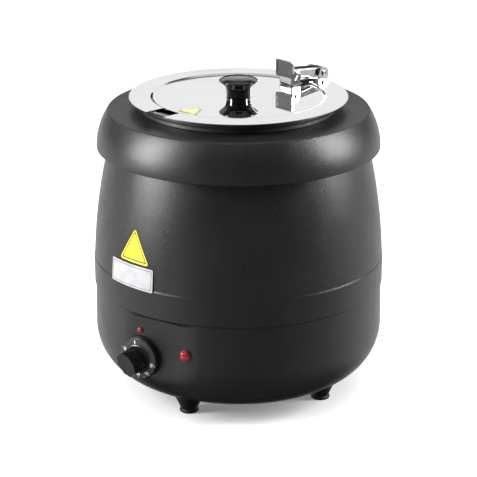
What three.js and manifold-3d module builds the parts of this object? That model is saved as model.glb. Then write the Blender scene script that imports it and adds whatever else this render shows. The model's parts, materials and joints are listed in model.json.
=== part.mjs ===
// Electric soup kettle, wet-heat type: a black spun-steel body with a rolled collar, a fixed water
// well inside it, a stainless pot that hangs in the well, and a polished lid on a clip-on hinge.
//
// Millimetres, +Z up. The origin is on the standing surface, under the kettle's axis, and the control
// flat faces -Y. Angles called "bearing" are measured from -Y towards +X, seen from above.
import * as THREE from 'three';
import { mergeVertices } from 'three/addons/utils/BufferGeometryUtils.js';
import Module from 'manifold-3d';

const wasm = await Module();
wasm.setup();

// ---------------------------------------------------------------- driving dimensions

const GAP = 0.3; // clearance between pieces that touch
const ROUND = 48; // sides of every large turned piece
const HALF_ROUND = 24; // sides of knobs, lamps and other middle-sized turned pieces
const FOOT_ROUND = 16;
const SMALL_ROUND = 12; // sides of pins and bores
const SCREW_ROUND = 8;
const BIG = 400; // longer than anything, for cutting blocks

// body
const BELLY_RADIUS = 169.5; // widest radius of the upper wall
const BELLY_HEIGHT = 139; // where it would be reached
const WALL_BOW = 633; // radius of the upper wall's upright curve
const SHELL_TOP = 300;
const SHELL_WALL = 1.5;
const BAND_TOP = 163; // raised band round the body
const BAND_BOTTOM = 131;
const BAND_RADIUS = 169.7;
const LOWER_RADIUS = 168.3; // just under the band
const BASE_RADIUS = 169; // where the lower wall meets the bottom corner
const BASE_HEIGHT = 17; // underside above the standing surface
const CORNER = 62; // radius of the bottom corner
const BASE_OPENING = 96;

// collar
const COLLAR_RADIUS = 164; // outside, at the lower edge
const COLLAR_BOTTOM = 293;
const COLLAR_ROLL = 76; // radius of the rolled outer face
const COLLAR_TOP = 337; // flat shoulder
const COLLAR_WALL = 1.6;
const NECK_OUTER = 111.5;
const NECK_INNER = 109.8;
const NECK_TOP = 344.7;

// well and pot
const WELL_OUTER = 109.3;
const WELL_WALL = 1;
const WELL_FLOOR = 60;
const POT_OUTER = 106.9;
const POT_WALL = 1.2;
const POT_FLOOR = 101;
const POT_CORNER = 14;
const FLANGE_RADIUS = 118;
const FLANGE_TOP = 349.7;
const FLANGE_THICKNESS = 1.5;

// lid, turned about the axis so that its hinge stands at the rear right of the controls
const LID_BEARING = THREE.MathUtils.degToRad(-15);
const LID_TOP = 351;
const LID_RADIUS = 126;
const LID_THICKNESS = 1;
const LID_RECESS_RADIUS = 99.5;
const LID_RECESS = 0.8;
const NOTCH_WIDTH = 29;
const NOTCH_START = 98; // radius of the notch's inner edge
const NOTCH_CORNER = 5;
const REAR_CUT_WIDTH = 26;
const REAR_CUT_START = 110.5;
const REAR_CUT_CORNER = 1.5;

// hinge, in the lid's own direction: outwards distance from the axis and height above the lid's top
const INNER_PIN = { out: 82, up: 12 };
const OUTER_PIN = { out: 127, up: 6 };
const PIN_RADIUS = 2;
const EAR_HALF_WIDTH = 11.2;
const ARM_HALF_WIDTH = 9.5;
const SHEET = 1.3; // hinge plate thickness

// controls, on the flat: x along the flat, z above the standing surface
const FLAT_DISTANCE = 163.5;
const FLAT_TOP = 129;
const DIAL = { x: -25, z: 79 };
const INDEX_LAMP = { x: -27, z: 110.6 };
const PILOT_LAMP = { x: 34, z: 93 };
const DIAL_PROTRUSION = 32;
const GRIP_HALF_LENGTH = 14; // across the dial's eight-sided grip, at mid-height
const GRIP_HALF_WIDTH = 9.2;
const GRIP_TILT = THREE.MathUtils.degToRad(42);
const THERMOSTAT_BACK = -130; // rear face of the thermostat
const DIAL_SCREW = 11; // thermostat screws, to each side of the dial's axis

// rear inlet and feet
const GLAND_HEIGHT = 62;
const GLAND_HEAD_START = 169;
const GLAND_REACH = 195.5; // from the kettle's axis
const FOOT_CIRCLE = 114;
const FOOT_BEARINGS = { front: 2.5, right: 90, rear: 182.5, left: 270 };
const BASE_SCREW_CIRCLE = 99.8;

// ---------------------------------------------------------------- materials

const finish = (color, roughness, metalness) =>
  new THREE.MeshStandardMaterial({ color, roughness, metalness });

const blackPaint = () => finish(0x2b2b2c, 0.55, 0.1);
const blackPlastic = () => finish(0x101011, 0.35, 0);
const blackRubber = () => finish(0x161616, 0.8, 0);
const polishedSteel = () => finish(0xdfe1e3, 0.06, 1);
const satinSteel = () => finish(0xbfc1c3, 0.3, 1);
const galvanised = () => finish(0x9a9d9f, 0.45, 0.9);
const redLens = () => finish(0xc4161c, 0.2, 0);
const yellowFilm = () => finish(0xf2d21a, 0.5, 0);
const silverFilm = () => finish(0xb9bbbd, 0.35, 0.6);
const glassWool = () => finish(0xd9d2b4, 0.95, 0);
const brass = () => finish(0xb08d3f, 0.35, 1);
const whiteCeramic = () => finish(0xe6e3da, 0.6, 0);
const brownWire = () => finish(0x5a3219, 0.6, 0);
const blueWire = () => finish(0x1f4f9c, 0.6, 0);
const greenWire = () => finish(0x5f9a2a, 0.6, 0);

// ---------------------------------------------------------------- solids

// A closed three.js geometry as a solid, facing out.
function solid(geometry) {
  const bare = geometry.clone();
  bare.deleteAttribute('normal');
  bare.deleteAttribute('uv');
  const merged = mergeVertices(bare, 1e-3);
  const corners = merged.index.array;
  const kept = [];
  for (let i = 0; i < corners.length; i += 3) {
    const [a, b, c] = [corners[i], corners[i + 1], corners[i + 2]];
    if (a !== b && b !== c && c !== a) kept.push(a, b, c);
  }
  const build = (triangles) => new wasm.Manifold(new wasm.Mesh({
    numProp: 3,
    vertProperties: new Float32Array(merged.attributes.position.array),
    triVerts: new Uint32Array(triangles),
  }));
  const body = build(kept);
  return body.volume() > 0 ? body : build(kept.reverse());
}

function geometryOf(body) {
  const { vertProperties, triVerts } = body.getMesh();
  const geometry = new THREE.BufferGeometry();
  geometry.setAttribute('position', new THREE.BufferAttribute(vertProperties, 3));
  geometry.setIndex(new THREE.BufferAttribute(triVerts, 1));
  geometry.computeVertexNormals();
  return geometry;
}

function piece(name, body, material) {
  const mesh = new THREE.Mesh(geometryOf(body), material);
  mesh.name = name;
  return mesh;
}

// Turned solid about +Z from [radius, height] points. The profile starts and ends on the axis, or it
// is closed here on its first point.
function turned(profile, sides = ROUND) {
  const points = profile.map(([radius, height]) => new THREE.Vector2(radius, height));
  if (profile[0][0] > 0) points.push(points[0].clone());
  return solid(new THREE.LatheGeometry(points, sides).rotateX(Math.PI / 2));
}

// Points of an arc in a profile, from one angle to another in degrees (0 is outwards, 90 is up).
function arc(centreRadius, centreHeight, radius, from, to, steps) {
  return Array.from({ length: steps + 1 }, (_, i) => {
    const angle = THREE.MathUtils.degToRad(from + ((to - from) * i) / steps);
    return [centreRadius + radius * Math.cos(angle), centreHeight + radius * Math.sin(angle)];
  });
}

// Round bars along each axis.
function rodZ(radius, bottom, top, x = 0, y = 0, sides = SMALL_ROUND) {
  const geometry = new THREE.CylinderGeometry(radius, radius, top - bottom, sides).rotateX(Math.PI / 2);
  return solid(geometry.translate(x, y, (top + bottom) / 2));
}

function rodY(radius, from, to, x = 0, z = 0, sides = SMALL_ROUND) {
  const geometry = new THREE.CylinderGeometry(radius, radius, to - from, sides);
  return solid(geometry.translate(x, (to + from) / 2, z));
}

function rodX(radius, from, to, y = 0, z = 0, sides = SMALL_ROUND) {
  const geometry = new THREE.CylinderGeometry(radius, radius, to - from, sides).rotateZ(Math.PI / 2);
  return solid(geometry.translate((to + from) / 2, y, z));
}

function block([x0, y0, z0], [x1, y1, z1]) {
  const geometry = new THREE.BoxGeometry(x1 - x0, y1 - y0, z1 - z0);
  return solid(geometry.translate((x0 + x1) / 2, (y0 + y1) / 2, (z0 + z1) / 2));
}

function outline(points) {
  return new THREE.Shape(points.map(([x, y]) => new THREE.Vector2(x, y)));
}

function roundedRectangle(width, height, corner, centreX = 0, centreY = 0) {
  const [left, right] = [centreX - width / 2, centreX + width / 2];
  const [low, high] = [centreY - height / 2, centreY + height / 2];
  const shape = new THREE.Shape();
  shape.moveTo(left + corner, low);
  shape.lineTo(right - corner, low);
  shape.absarc(right - corner, low + corner, corner, -Math.PI / 2, 0);
  shape.lineTo(right, high - corner);
  shape.absarc(right - corner, high - corner, corner, 0, Math.PI / 2);
  shape.lineTo(left + corner, high);
  shape.absarc(left + corner, high - corner, corner, Math.PI / 2, Math.PI);
  shape.lineTo(left, low + corner);
  shape.absarc(left + corner, low + corner, corner, Math.PI, 1.5 * Math.PI);
  return shape;
}

function extrudedZ(shape, bottom, top) {
  const options = { depth: top - bottom, bevelEnabled: false, curveSegments: 3 };
  return solid(new THREE.ExtrudeGeometry(shape, options).translate(0, 0, bottom));
}

// A side outline in (y, z), made as thick as x0 to x1.
function extrudedX(shape, x0, x1) {
  const options = { depth: x1 - x0, bevelEnabled: false, curveSegments: 3 };
  const geometry = new THREE.ExtrudeGeometry(shape, options);
  const turn = new THREE.Matrix4().makeBasis(
    new THREE.Vector3(0, 1, 0), new THREE.Vector3(0, 0, 1), new THREE.Vector3(1, 0, 0));
  return solid(geometry.applyMatrix4(turn).translate(x0, 0, 0));
}

// A tube with round section along a smooth curve through the given points.
function tube(points, radius, steps, sides = 6) {
  const section = new THREE.Shape();
  section.absarc(0, 0, radius, 0, 2 * Math.PI);
  const path = new THREE.CatmullRomCurve3(points.map((p) => new THREE.Vector3(...p)));
  const options = { steps, extrudePath: path, curveSegments: sides / 2, bevelEnabled: false };
  return solid(new THREE.ExtrudeGeometry(section, options));
}

// A point at a radius and a bearing in degrees.
function polar(radius, bearing) {
  const angle = THREE.MathUtils.degToRad(bearing);
  return [radius * Math.sin(angle), -radius * Math.cos(angle)];
}

// ---------------------------------------------------------------- body

const wallRadius = (height) => BELLY_RADIUS - (height - BELLY_HEIGHT) ** 2 / (2 * WALL_BOW);

// What the control flat cuts away from the body, for a body grown (or shrunk) all round.
function flatCut(grow) {
  return block([-BIG, -BIG, -BIG], [BIG, -FLAT_DISTANCE - grow, FLAT_TOP - grow]);
}

// The body's outside as a full solid, grown by an amount all round.
function bodyForm(grow) {
  const heights = [SHELL_TOP, 272, 243, 215, 188, BAND_TOP + 0.7];
  return turned([
    [0, SHELL_TOP],
    ...heights.map((height) => [wallRadius(height) + grow, height]),
    [BAND_RADIUS + grow, BAND_TOP],
    [BAND_RADIUS + grow, BAND_BOTTOM + 0.6],
    [LOWER_RADIUS + grow, BAND_BOTTOM - 0.4],
    ...arc(BASE_RADIUS - CORNER, BASE_HEIGHT + CORNER, CORNER + grow, 0, -90, 5),
    [0, BASE_HEIGHT - grow],
  ]).subtract(flatCut(grow));
}

// The space inside the shell, plainer than its outside.
function bodyInside() {
  const heights = [SHELL_TOP + 1, 262, 224, 188, BAND_TOP];
  return turned([
    [0, SHELL_TOP + 1],
    ...heights.map((height) => [wallRadius(height) - SHELL_WALL, height]),
    [LOWER_RADIUS - SHELL_WALL, BAND_BOTTOM],
    ...arc(BASE_RADIUS - CORNER, BASE_HEIGHT + CORNER, CORNER - SHELL_WALL, 0, -90, 4),
    [0, BASE_HEIGHT + SHELL_WALL],
  ]).subtract(flatCut(-SHELL_WALL));
}

function outerShell() {
  const openings = [
    rodZ(BASE_OPENING, 0, BASE_HEIGHT + SHELL_WALL + 1, 0, 0, ROUND),
    rodY(5, -BIG, -100, DIAL.x, DIAL.z),
    rodY(2, -BIG, -100, DIAL.x - DIAL_SCREW, DIAL.z),
    rodY(2, -BIG, -100, DIAL.x + DIAL_SCREW, DIAL.z),
    rodY(2.4, -BIG, -100, INDEX_LAMP.x, INDEX_LAMP.z),
    rodY(5, -BIG, -100, PILOT_LAMP.x, PILOT_LAMP.z),
    rodY(9.5, 100, BIG, 0, GLAND_HEIGHT, HALF_ROUND),
  ];
  for (const bearing of [45, 135, 225, 315]) {
    openings.push(rodZ(1.9, 0, 40, ...polar(BASE_SCREW_CIRCLE, bearing)));
  }
  for (const bearing of Object.values(FOOT_BEARINGS)) {
    openings.push(rodZ(2.4, 0, 40, ...polar(FOOT_CIRCLE, bearing)));
  }
  const shell = bodyForm(0).subtract(bodyInside());
  return openings.reduce((body, opening) => body.subtract(opening), shell);
}

function topCollar() {
  const rollCentre = COLLAR_RADIUS - COLLAR_ROLL;
  const creaseAngle = THREE.MathUtils.radToDeg(Math.asin((COLLAR_TOP - COLLAR_BOTTOM) / COLLAR_ROLL));
  const lip = COLLAR_BOTTOM + COLLAR_WALL;
  const lipRadius = wallRadius(COLLAR_BOTTOM) + 2 * GAP;
  const under = COLLAR_TOP - COLLAR_WALL;
  const innerRoll = COLLAR_ROLL - COLLAR_WALL;
  const innerAngle = THREE.MathUtils.radToDeg(Math.asin((under - COLLAR_BOTTOM) / innerRoll));
  const lipAngle = THREE.MathUtils.radToDeg(Math.asin(COLLAR_WALL / innerRoll));
  return turned([
    [lipRadius, COLLAR_BOTTOM],
    ...arc(rollCentre, COLLAR_BOTTOM, COLLAR_ROLL, 0, creaseAngle, 5),
    [NECK_OUTER, COLLAR_TOP],
    [NECK_OUTER, NECK_TOP],
    [NECK_INNER, NECK_TOP],
    [NECK_INNER, under],
    ...arc(rollCentre, COLLAR_BOTTOM, innerRoll, innerAngle, lipAngle, 3),
    [lipRadius, lip],
  ]);
}

// Rubber ring that caps the neck and the well's flange; the pot's flange rests on it.
function neckSeal() {
  const top = FLANGE_TOP - FLANGE_THICKNESS - GAP;
  const webEdge = WELL_OUTER + 0.5;
  return turned([
    [NECK_OUTER + GAP, COLLAR_TOP + GAP],
    [NECK_OUTER + 1.9, COLLAR_TOP + GAP],
    [NECK_OUTER + 1.9, top - 0.8],
    [NECK_OUTER + 1.1, top],
    [webEdge, top],
    [webEdge, top - 1.2],
    [NECK_OUTER + GAP, top - 1.2],
  ]);
}

function waterVessel() {
  const flange = NECK_TOP + GAP;
  const inner = WELL_OUTER - WELL_WALL;
  const corner = 12;
  return turned([
    [0, WELL_FLOOR],
    ...arc(WELL_OUTER - corner, WELL_FLOOR + corner, corner, -90, 0, 2),
    [WELL_OUTER, flange],
    [NECK_OUTER, flange],
    [NECK_OUTER, flange + WELL_WALL],
    [inner, flange + WELL_WALL],
    ...arc(WELL_OUTER - corner, WELL_FLOOR + corner, corner - WELL_WALL, 0, -90, 2),
    [0, WELL_FLOOR + WELL_WALL],
  ]);
}

function insulationJacket() {
  const inner = WELL_OUTER + 1;
  return turned([[inner, 128], [138, 128], [138, 285], [inner, 285]], HALF_ROUND);
}

function basePlate() {
  const bottom = BASE_HEIGHT + SHELL_WALL + GAP;
  let plate = rodZ(104, bottom, bottom + SHELL_WALL, 0, 0, ROUND);
  for (const bearing of [45, 135, 225, 315]) {
    plate = plate.subtract(rodZ(1.9, 0, 40, ...polar(BASE_SCREW_CIRCLE, bearing)));
  }
  return plate;
}

function baseScrew() {
  return turned([
    [0, BASE_HEIGHT - 2.2], [2.4, BASE_HEIGHT - 2.2], [3.4, BASE_HEIGHT - 1.4],
    [3.4, BASE_HEIGHT - GAP], [1.5, BASE_HEIGHT - GAP], [1.5, BASE_HEIGHT + 9], [0, BASE_HEIGHT + 9],
  ], SCREW_ROUND);
}

// Rubber foot, flared at the top to meet the curved underside.
function foot(bearing) {
  const [x, y] = polar(FOOT_CIRCLE, bearing);
  const form = turned([
    [0, 0], [10.25, 0], [10.25, 2.6], [9, 3.4], [9.6, 8], [12, 13.5], [15, 17.5], [15, 26], [0, 26],
  ], FOOT_ROUND).translate([x, y, 0]);
  const recess = rodZ(5, -1, 5.5, x, y);
  const hole = rodZ(2.4, 0, 30, x, y);
  return form.subtract(bodyForm(GAP)).subtract(recess).subtract(hole);
}

function footScrew() {
  return turned([
    [0, 2.6], [3.2, 2.6], [4.2, 3.6], [4.2, 5.2], [2, 5.2], [2, 27], [0, 27],
  ], SCREW_ROUND);
}

// ---------------------------------------------------------------- inside the body

function heaterElement() {
  return turned(arc(68, 54.5, 5, 0, 315, 7), HALF_ROUND);
}

function heaterClamp() {
  const bar = block([-82, -8, 46.4], [82, 8, 48.9]);
  return bar.subtract(rodZ(2.4, 40, 52));
}

function clampStud() {
  return rodZ(2, 39, WELL_FLOOR - GAP).add(rodZ(4.5, 42.5, 46));
}

function thermostatBody() {
  const front = -FLAT_DISTANCE + SHELL_WALL + 2 * GAP;
  const box = block([DIAL.x - 16, front + 3.5, DIAL.z - 12], [DIAL.x + 16, THERMOSTAT_BACK, DIAL.z + 22]);
  const plate = block([DIAL.x - 14, front, DIAL.z - 5], [DIAL.x + 14, front + 4, DIAL.z + 5]);
  let body = box.add(plate).subtract(rodY(3.4, -BIG, front + 15, DIAL.x, DIAL.z));
  for (const side of [-DIAL_SCREW, DIAL_SCREW]) {
    body = body.subtract(rodY(1.9, -BIG, front + 9, DIAL.x + side, DIAL.z));
  }
  return body;
}

function thermostatScrew(side) {
  const front = -FLAT_DISTANCE - GAP;
  const x = DIAL.x + side;
  return rodY(3, front - 1.6, front, x, DIAL.z).add(rodY(1.5, front - 0.5, front + 8, x, DIAL.z));
}

function sensorBulb() {
  const [x, y] = polar(WELL_OUTER + 4, -32);
  return rodZ(3, 74, 122, x, y);
}

function capillaryTube() {
  const [x, y] = polar(WELL_OUTER + 4, -32);
  return tube([
    [DIAL.x - 10, THERMOSTAT_BACK + 1, DIAL.z + 0.5], [DIAL.x - 14, -126.5, DIAL.z - 4],
    [DIAL.x - 27, -118, DIAL.z - 16],
    [x, y - 1, 62], [x, y, 69], [x, y, 73.4],
  ], 1, 12);
}

function thermalCutout() {
  return rodZ(9, 52, WELL_FLOOR - GAP, 0, 40).add(block([-2, 28, 50], [2, 52, 52.5]));
}

function terminalBlock() {
  let body = block([-24, 96, 21.2], [24, 111, 38]);
  for (const x of [-16, 0, 16]) {
    body = body.subtract(rodZ(3, 32, 40, x, 104));
  }
  return body;
}

function earthStud() {
  return turned([
    [0, 20.9], [5, 20.9], [5, 24], [2.5, 24], [2.5, 34], [0, 34],
  ], SMALL_ROUND).translate([44, 84, 0]);
}

function wire(startX, height) {
  const thermostatX = DIAL.x + startX / 3;
  return tube([
    [startX, 95.4, 29], [startX, 84, 30], [startX * 1.5, 40, height], [startX * 1.5, -40, height],
    [thermostatX, -100, DIAL.z - 24], [thermostatX, -121, DIAL.z - 5],
    [thermostatX, THERMOSTAT_BACK + 0.6, DIAL.z - 4],
  ], 1.3, 14);
}

// ---------------------------------------------------------------- controls and labels

// Frame on the control flat: x to the right, y up, z out of the panel.
function onPanel(mesh, place) {
  const basis = new THREE.Matrix4().makeBasis(
    new THREE.Vector3(1, 0, 0), new THREE.Vector3(0, 0, 1), new THREE.Vector3(0, -1, 0));
  mesh.quaternion.setFromRotationMatrix(basis);
  mesh.position.set(place.x, -FLAT_DISTANCE, place.z);
  return mesh;
}

// Dial: a wide dished skirt that carries the scale, and a long eight-sided grip across it.
function dialKnob() {
  const skirt = turned([
    [0, 1.4], [23.8, 1.4], [24.6, 2.4], [24.6, 6.2], [23.8, 7], [17, 8.6], [0, 9.2],
  ], HALF_ROUND);
  const toFlats = 1 / Math.cos(Math.PI / 8);
  const grip = solid(new THREE.CylinderGeometry(0.98, 1.02, DIAL_PROTRUSION - 8, 8)
    .rotateX(Math.PI / 2).rotateZ(Math.PI / 8)
    .scale(GRIP_HALF_WIDTH * toFlats, GRIP_HALF_LENGTH * toFlats, 1)
    .rotateZ(GRIP_TILT).translate(0, 0, (DIAL_PROTRUSION + 8) / 2));
  return skirt.add(grip).subtract(rodZ(3.3, 0, 22, 0, 0)).subtract(rodZ(18, 0, 3, 0, 0, HALF_ROUND));
}

function thermostatShaft() {
  return rodZ(3, -15, 21.5);
}

function pilotLens() {
  const dome = arc(0, -2.1, 8, 51.4, 90, 4);
  return turned([[0, GAP], [6.4, GAP], [6.4, 3], [5.2, 4], ...dome], HALF_ROUND);
}

function pilotBody() {
  const inside = SHELL_WALL + GAP;
  return rodZ(4.6, -18, 0, 0, 0).add(rodZ(6.5, -inside - 10, -inside, 0, 0));
}

function indexLens() {
  return turned([[0, -7], [2, -7], [2, GAP], [3.3, GAP], [3.3, 1], [2.3, 2.4], [0, 3]], SMALL_ROUND);
}

function badgePlate() {
  const ring = turned([[170.1, 161], [168.3, 188], [169.1, 188], [170.9, 161]]);
  const form = roundedRectangle(67.5, 26.6, 2.5, 0, 174.5);
  return ring.intersect(facing(form, -13));
}

function cautionLabel() {
  const skin = bodyForm(GAP + 0.5).subtract(bodyForm(GAP));
  const form = triangle(46, 38.5, 0, 190.6);
  return skin.intersect(facing(form, -11.7));
}

function triangle(base, height, centre, low) {
  return outline([[centre - base / 2, low], [centre + base / 2, low], [centre, low + height]]);
}

// An upright outline in (x, z) pushed outwards from the axis at a bearing.
function facing(shape, bearing) {
  const options = { depth: BIG, bevelEnabled: false, curveSegments: 3 };
  const geometry = new THREE.ExtrudeGeometry(shape, options).rotateX(Math.PI / 2);
  return solid(geometry.rotateZ(THREE.MathUtils.degToRad(bearing)));
}

// ---------------------------------------------------------------- rear inlet

function cableGland() {
  const headStart = GLAND_HEAD_START + 5;
  const head = solid(new THREE.CylinderGeometry(11, 12.5, GLAND_REACH - headStart, 8)
    .translate(0, (GLAND_REACH + headStart) / 2, GLAND_HEIGHT));
  const collar = rodY(14, GLAND_HEAD_START, GLAND_HEAD_START + 5.2, 0, GLAND_HEIGHT, HALF_ROUND);
  const stem = rodY(9, 146, GLAND_HEAD_START + 1, 0, GLAND_HEIGHT, HALF_ROUND);
  return head.add(collar).add(stem).subtract(rodY(4, 100, BIG, 0, GLAND_HEIGHT));
}

function glandNut() {
  const nut = solid(new THREE.CylinderGeometry(12.5, 12.5, 5, 6).translate(0, 151, GLAND_HEIGHT));
  return nut.subtract(rodY(9.4, 100, BIG, 0, GLAND_HEIGHT, HALF_ROUND));
}

// ---------------------------------------------------------------- pot

function soupPot() {
  const inner = POT_CORNER - POT_WALL;
  const under = FLANGE_TOP - FLANGE_THICKNESS;
  const wall = POT_OUTER - POT_WALL;
  return turned([
    [0, POT_FLOOR],
    ...arc(POT_OUTER - POT_CORNER, POT_FLOOR + POT_CORNER, POT_CORNER, -90, 0, 3),
    [POT_OUTER, under],
    [FLANGE_RADIUS - 0.5, under],
    [FLANGE_RADIUS, (under + FLANGE_TOP) / 2],
    [FLANGE_RADIUS - 0.5, FLANGE_TOP],
    [wall, FLANGE_TOP],
    ...arc(POT_OUTER - POT_CORNER, POT_FLOOR + POT_CORNER, inner, 0, -90, 3),
    [0, POT_FLOOR + POT_WALL],
  ]);
}

// Bent clip: a jaw that grips the pot's flange and two ears for the outer pin.
function rimClip() {
  const jaw = outline([
    [111.5, -1], [118.3, -1], [118.3, -4.8], [114.2, -4.8], [114.2, -6.1], [119.6, -6.1],
    [119.6, 0.3], [111.5, 0.3],
  ]);
  const ear = outline([
    [118.3, -6.1], [128, -6.1], [134, 0], [135, 7], [132, 12.5], [127, 13.5], [121, 12], [118.3, 6],
  ]);
  let clip = extrudedX(jaw, -EAR_HALF_WIDTH, EAR_HALF_WIDTH);
  for (const inner of [-EAR_HALF_WIDTH, EAR_HALF_WIDTH - SHEET]) {
    clip = clip.add(extrudedX(ear, inner, inner + SHEET));
  }
  const bore = rodX(PIN_RADIUS + GAP, -BIG, BIG, OUTER_PIN.out, OUTER_PIN.up);
  return clip.subtract(bore).translate([0, 0, LID_TOP]);
}

// Riveted pin with a head at each end.
function hingePin(place) {
  const half = EAR_HALF_WIDTH + GAP;
  let pin = rodX(PIN_RADIUS, -half - 0.5, half + 0.5, place.out, place.up);
  for (const start of [-half - 1.4, half]) {
    pin = pin.add(rodX(PIN_RADIUS + 1.2, start, start + 1.4, place.out, place.up));
  }
  return pin.translate([0, 0, LID_TOP]);
}

// ---------------------------------------------------------------- arm

// Channel between the two pins, open below, with the stop plate standing at its inner end.
function hingeArm() {
  const side = outline([
    [78.4, 8.5], [84, 8.2], [104, 4.5], [124, 2.4], [130.5, 2.8], [132, 6], [130.5, 10.5], [126, 12.4],
    [104, 14.2], [88, 17.2], [78.4, 17.6],
  ]);
  const hollow = outline([
    [70, 0], [84, 0], [124, 0], [140, 0], [140, 2], [128, 11.1], [104, 12.9], [88, 15.9], [78, 16.2],
    [70, 16.2],
  ]);
  const inside = ARM_HALF_WIDTH - SHEET;
  const channel = extrudedX(side, -ARM_HALF_WIDTH, ARM_HALF_WIDTH)
    .subtract(extrudedX(hollow, -inside, inside));
  const stop = block([-12, 72, 8.5], [12, 75.4, 28]);
  const bridge = block([-ARM_HALF_WIDTH, 74, 14], [ARM_HALF_WIDTH, 79, 17.6]);
  let arm = channel.add(bridge).add(stop);
  for (const place of [INNER_PIN, OUTER_PIN]) {
    arm = arm.subtract(rodX(PIN_RADIUS + GAP, -BIG, BIG, place.out, place.up));
  }
  return arm.translate([0, 0, LID_TOP]);
}

// ---------------------------------------------------------------- lid

function lidPlate() {
  const low = LID_TOP - LID_RECESS;
  const step = 1.2;
  let plate = turned([
    [0, low], [LID_RECESS_RADIUS - step, low], [LID_RECESS_RADIUS + step, LID_TOP], [LID_RADIUS, LID_TOP],
    [LID_RADIUS, LID_TOP - LID_THICKNESS], [LID_RECESS_RADIUS + step + 0.4, LID_TOP - LID_THICKNESS],
    [LID_RECESS_RADIUS - step + 0.4, low - LID_THICKNESS], [0, low - LID_THICKNESS],
  ]);
  const cuts = [
    notch(NOTCH_WIDTH, NOTCH_START, NOTCH_CORNER, -1),
    notch(REAR_CUT_WIDTH, REAR_CUT_START, REAR_CUT_CORNER, 1),
    rodZ(3, 0, BIG),
    ...[-5.5, 5.5].map((x) => rodZ(1.8, 0, BIG, x, INNER_PIN.out)),
  ];
  for (const cut of cuts) plate = plate.subtract(cut);
  return plate;
}

// Cutter for an open slot in the lid's edge, with rounded inner corners.
function notch(width, start, corner, direction) {
  const length = 60;
  const shape = roundedRectangle(width, length, corner, 0, direction * (start + length / 2));
  return extrudedZ(shape, 0, BIG);
}

// U-shaped bracket with two ears for the inner pin.
function lidBracket() {
  const floor = -LID_RECESS + GAP;
  const base = block([-EAR_HALF_WIDTH, 76, floor], [EAR_HALF_WIDTH, 88, floor + SHEET]);
  const web = block([-ARM_HALF_WIDTH - 0.5, 76, floor], [ARM_HALF_WIDTH + 0.5, 76 + SHEET, 6]);
  const ear = outline([
    [76, floor], [88, floor], [88, 9], [86, 15], [82.5, 17], [79, 16], [76, 11],
  ]);
  let bracket = base.add(web);
  for (const inner of [-EAR_HALF_WIDTH, EAR_HALF_WIDTH - SHEET]) {
    bracket = bracket.add(extrudedX(ear, inner, inner + SHEET));
  }
  bracket = bracket.subtract(rodX(PIN_RADIUS + GAP, -BIG, BIG, INNER_PIN.out, INNER_PIN.up));
  for (const x of [-5.5, 5.5]) bracket = bracket.subtract(rodZ(1.8, -BIG, BIG, x, INNER_PIN.out));
  return bracket.translate([0, 0, LID_TOP]);
}

function bracketRivet(x) {
  const under = LID_TOP - LID_RECESS - LID_THICKNESS - GAP;
  const above = LID_TOP - LID_RECESS + 2 * GAP + SHEET;
  return turned([
    [0, under - 1], [2.6, under - 1], [2.6, under], [1.5, under], [1.5, above], [2.8, above],
    [1.8, above + 1.4], [0, above + 1.6],
  ], SMALL_ROUND).translate([x, INNER_PIN.out, 0]);
}

function lidKnob() {
  const base = -LID_RECESS + GAP;
  const knob = turned([
    [0, base], [14, base], [14, 2], [14.4, 6.6], [16.8, 11.6], [22.6, 16.5], [22.6, 17.2],
    [20.5, 18.9], [17, 20.4], [10, 21.6], [0, 21.9],
  ], HALF_ROUND);
  return knob.subtract(rodZ(2.6, -BIG, 12)).translate([0, 0, LID_TOP]);
}

function knobWasher() {
  const top = LID_TOP - LID_RECESS - LID_THICKNESS - GAP;
  return rodZ(8, top - 1.2, top).subtract(rodZ(2.6, 0, BIG));
}

function knobScrew() {
  const seat = LID_TOP - LID_RECESS - LID_THICKNESS - 2 * GAP - 1.2;
  return turned([
    [0, seat - 2.4], [3.4, seat - 2.4], [4.6, seat - 1.2], [4.6, seat], [2.3, seat],
    [2.3, LID_TOP + 11], [0, LID_TOP + 11],
  ], SMALL_ROUND);
}

function lidLabel() {
  const floor = LID_TOP - LID_RECESS + GAP;
  const [x, y] = polar(79, 8.4);
  const form = extrudedZ(triangle(31, 27, 0, -13), floor, floor + 0.4);
  return form.rotate([0, 0, 5]).translate([x, y, 0]);
}

// ---------------------------------------------------------------- assembly

const kettle = new THREE.Group();

kettle.add(
  piece('outer_shell', outerShell(), blackPaint()),
  piece('top_collar', topCollar(), blackPaint()),
  piece('neck_seal', neckSeal(), blackRubber()),
  piece('water_vessel', waterVessel(), satinSteel()),
  piece('insulation_jacket', insulationJacket(), glassWool()),
  piece('base_plate', basePlate(), galvanised()),
  piece('heater_element', heaterElement(), satinSteel()),
  piece('heater_clamp', heaterClamp(), galvanised()),
  piece('clamp_stud', clampStud(), galvanised()),
  piece('thermostat_body', thermostatBody(), whiteCeramic()),
  piece('sensor_bulb', sensorBulb(), brass()),
  piece('capillary_tube', capillaryTube(), brass()),
  piece('thermal_cutout', thermalCutout(), whiteCeramic()),
  piece('terminal_block', terminalBlock(), whiteCeramic()),
  piece('earth_stud', earthStud(), brass()),
  piece('live_wire', wire(-16, 36), brownWire()),
  piece('neutral_wire', wire(0, 30), blueWire()),
  piece('lamp_wire', wire(16, 36), greenWire()),
  piece('badge_plate', badgePlate(), silverFilm()),
  piece('caution_label', cautionLabel(), yellowFilm()),
  piece('cable_gland', cableGland(), blackPlastic()),
  piece('gland_nut', glandNut(), blackPlastic()),
);

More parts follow.
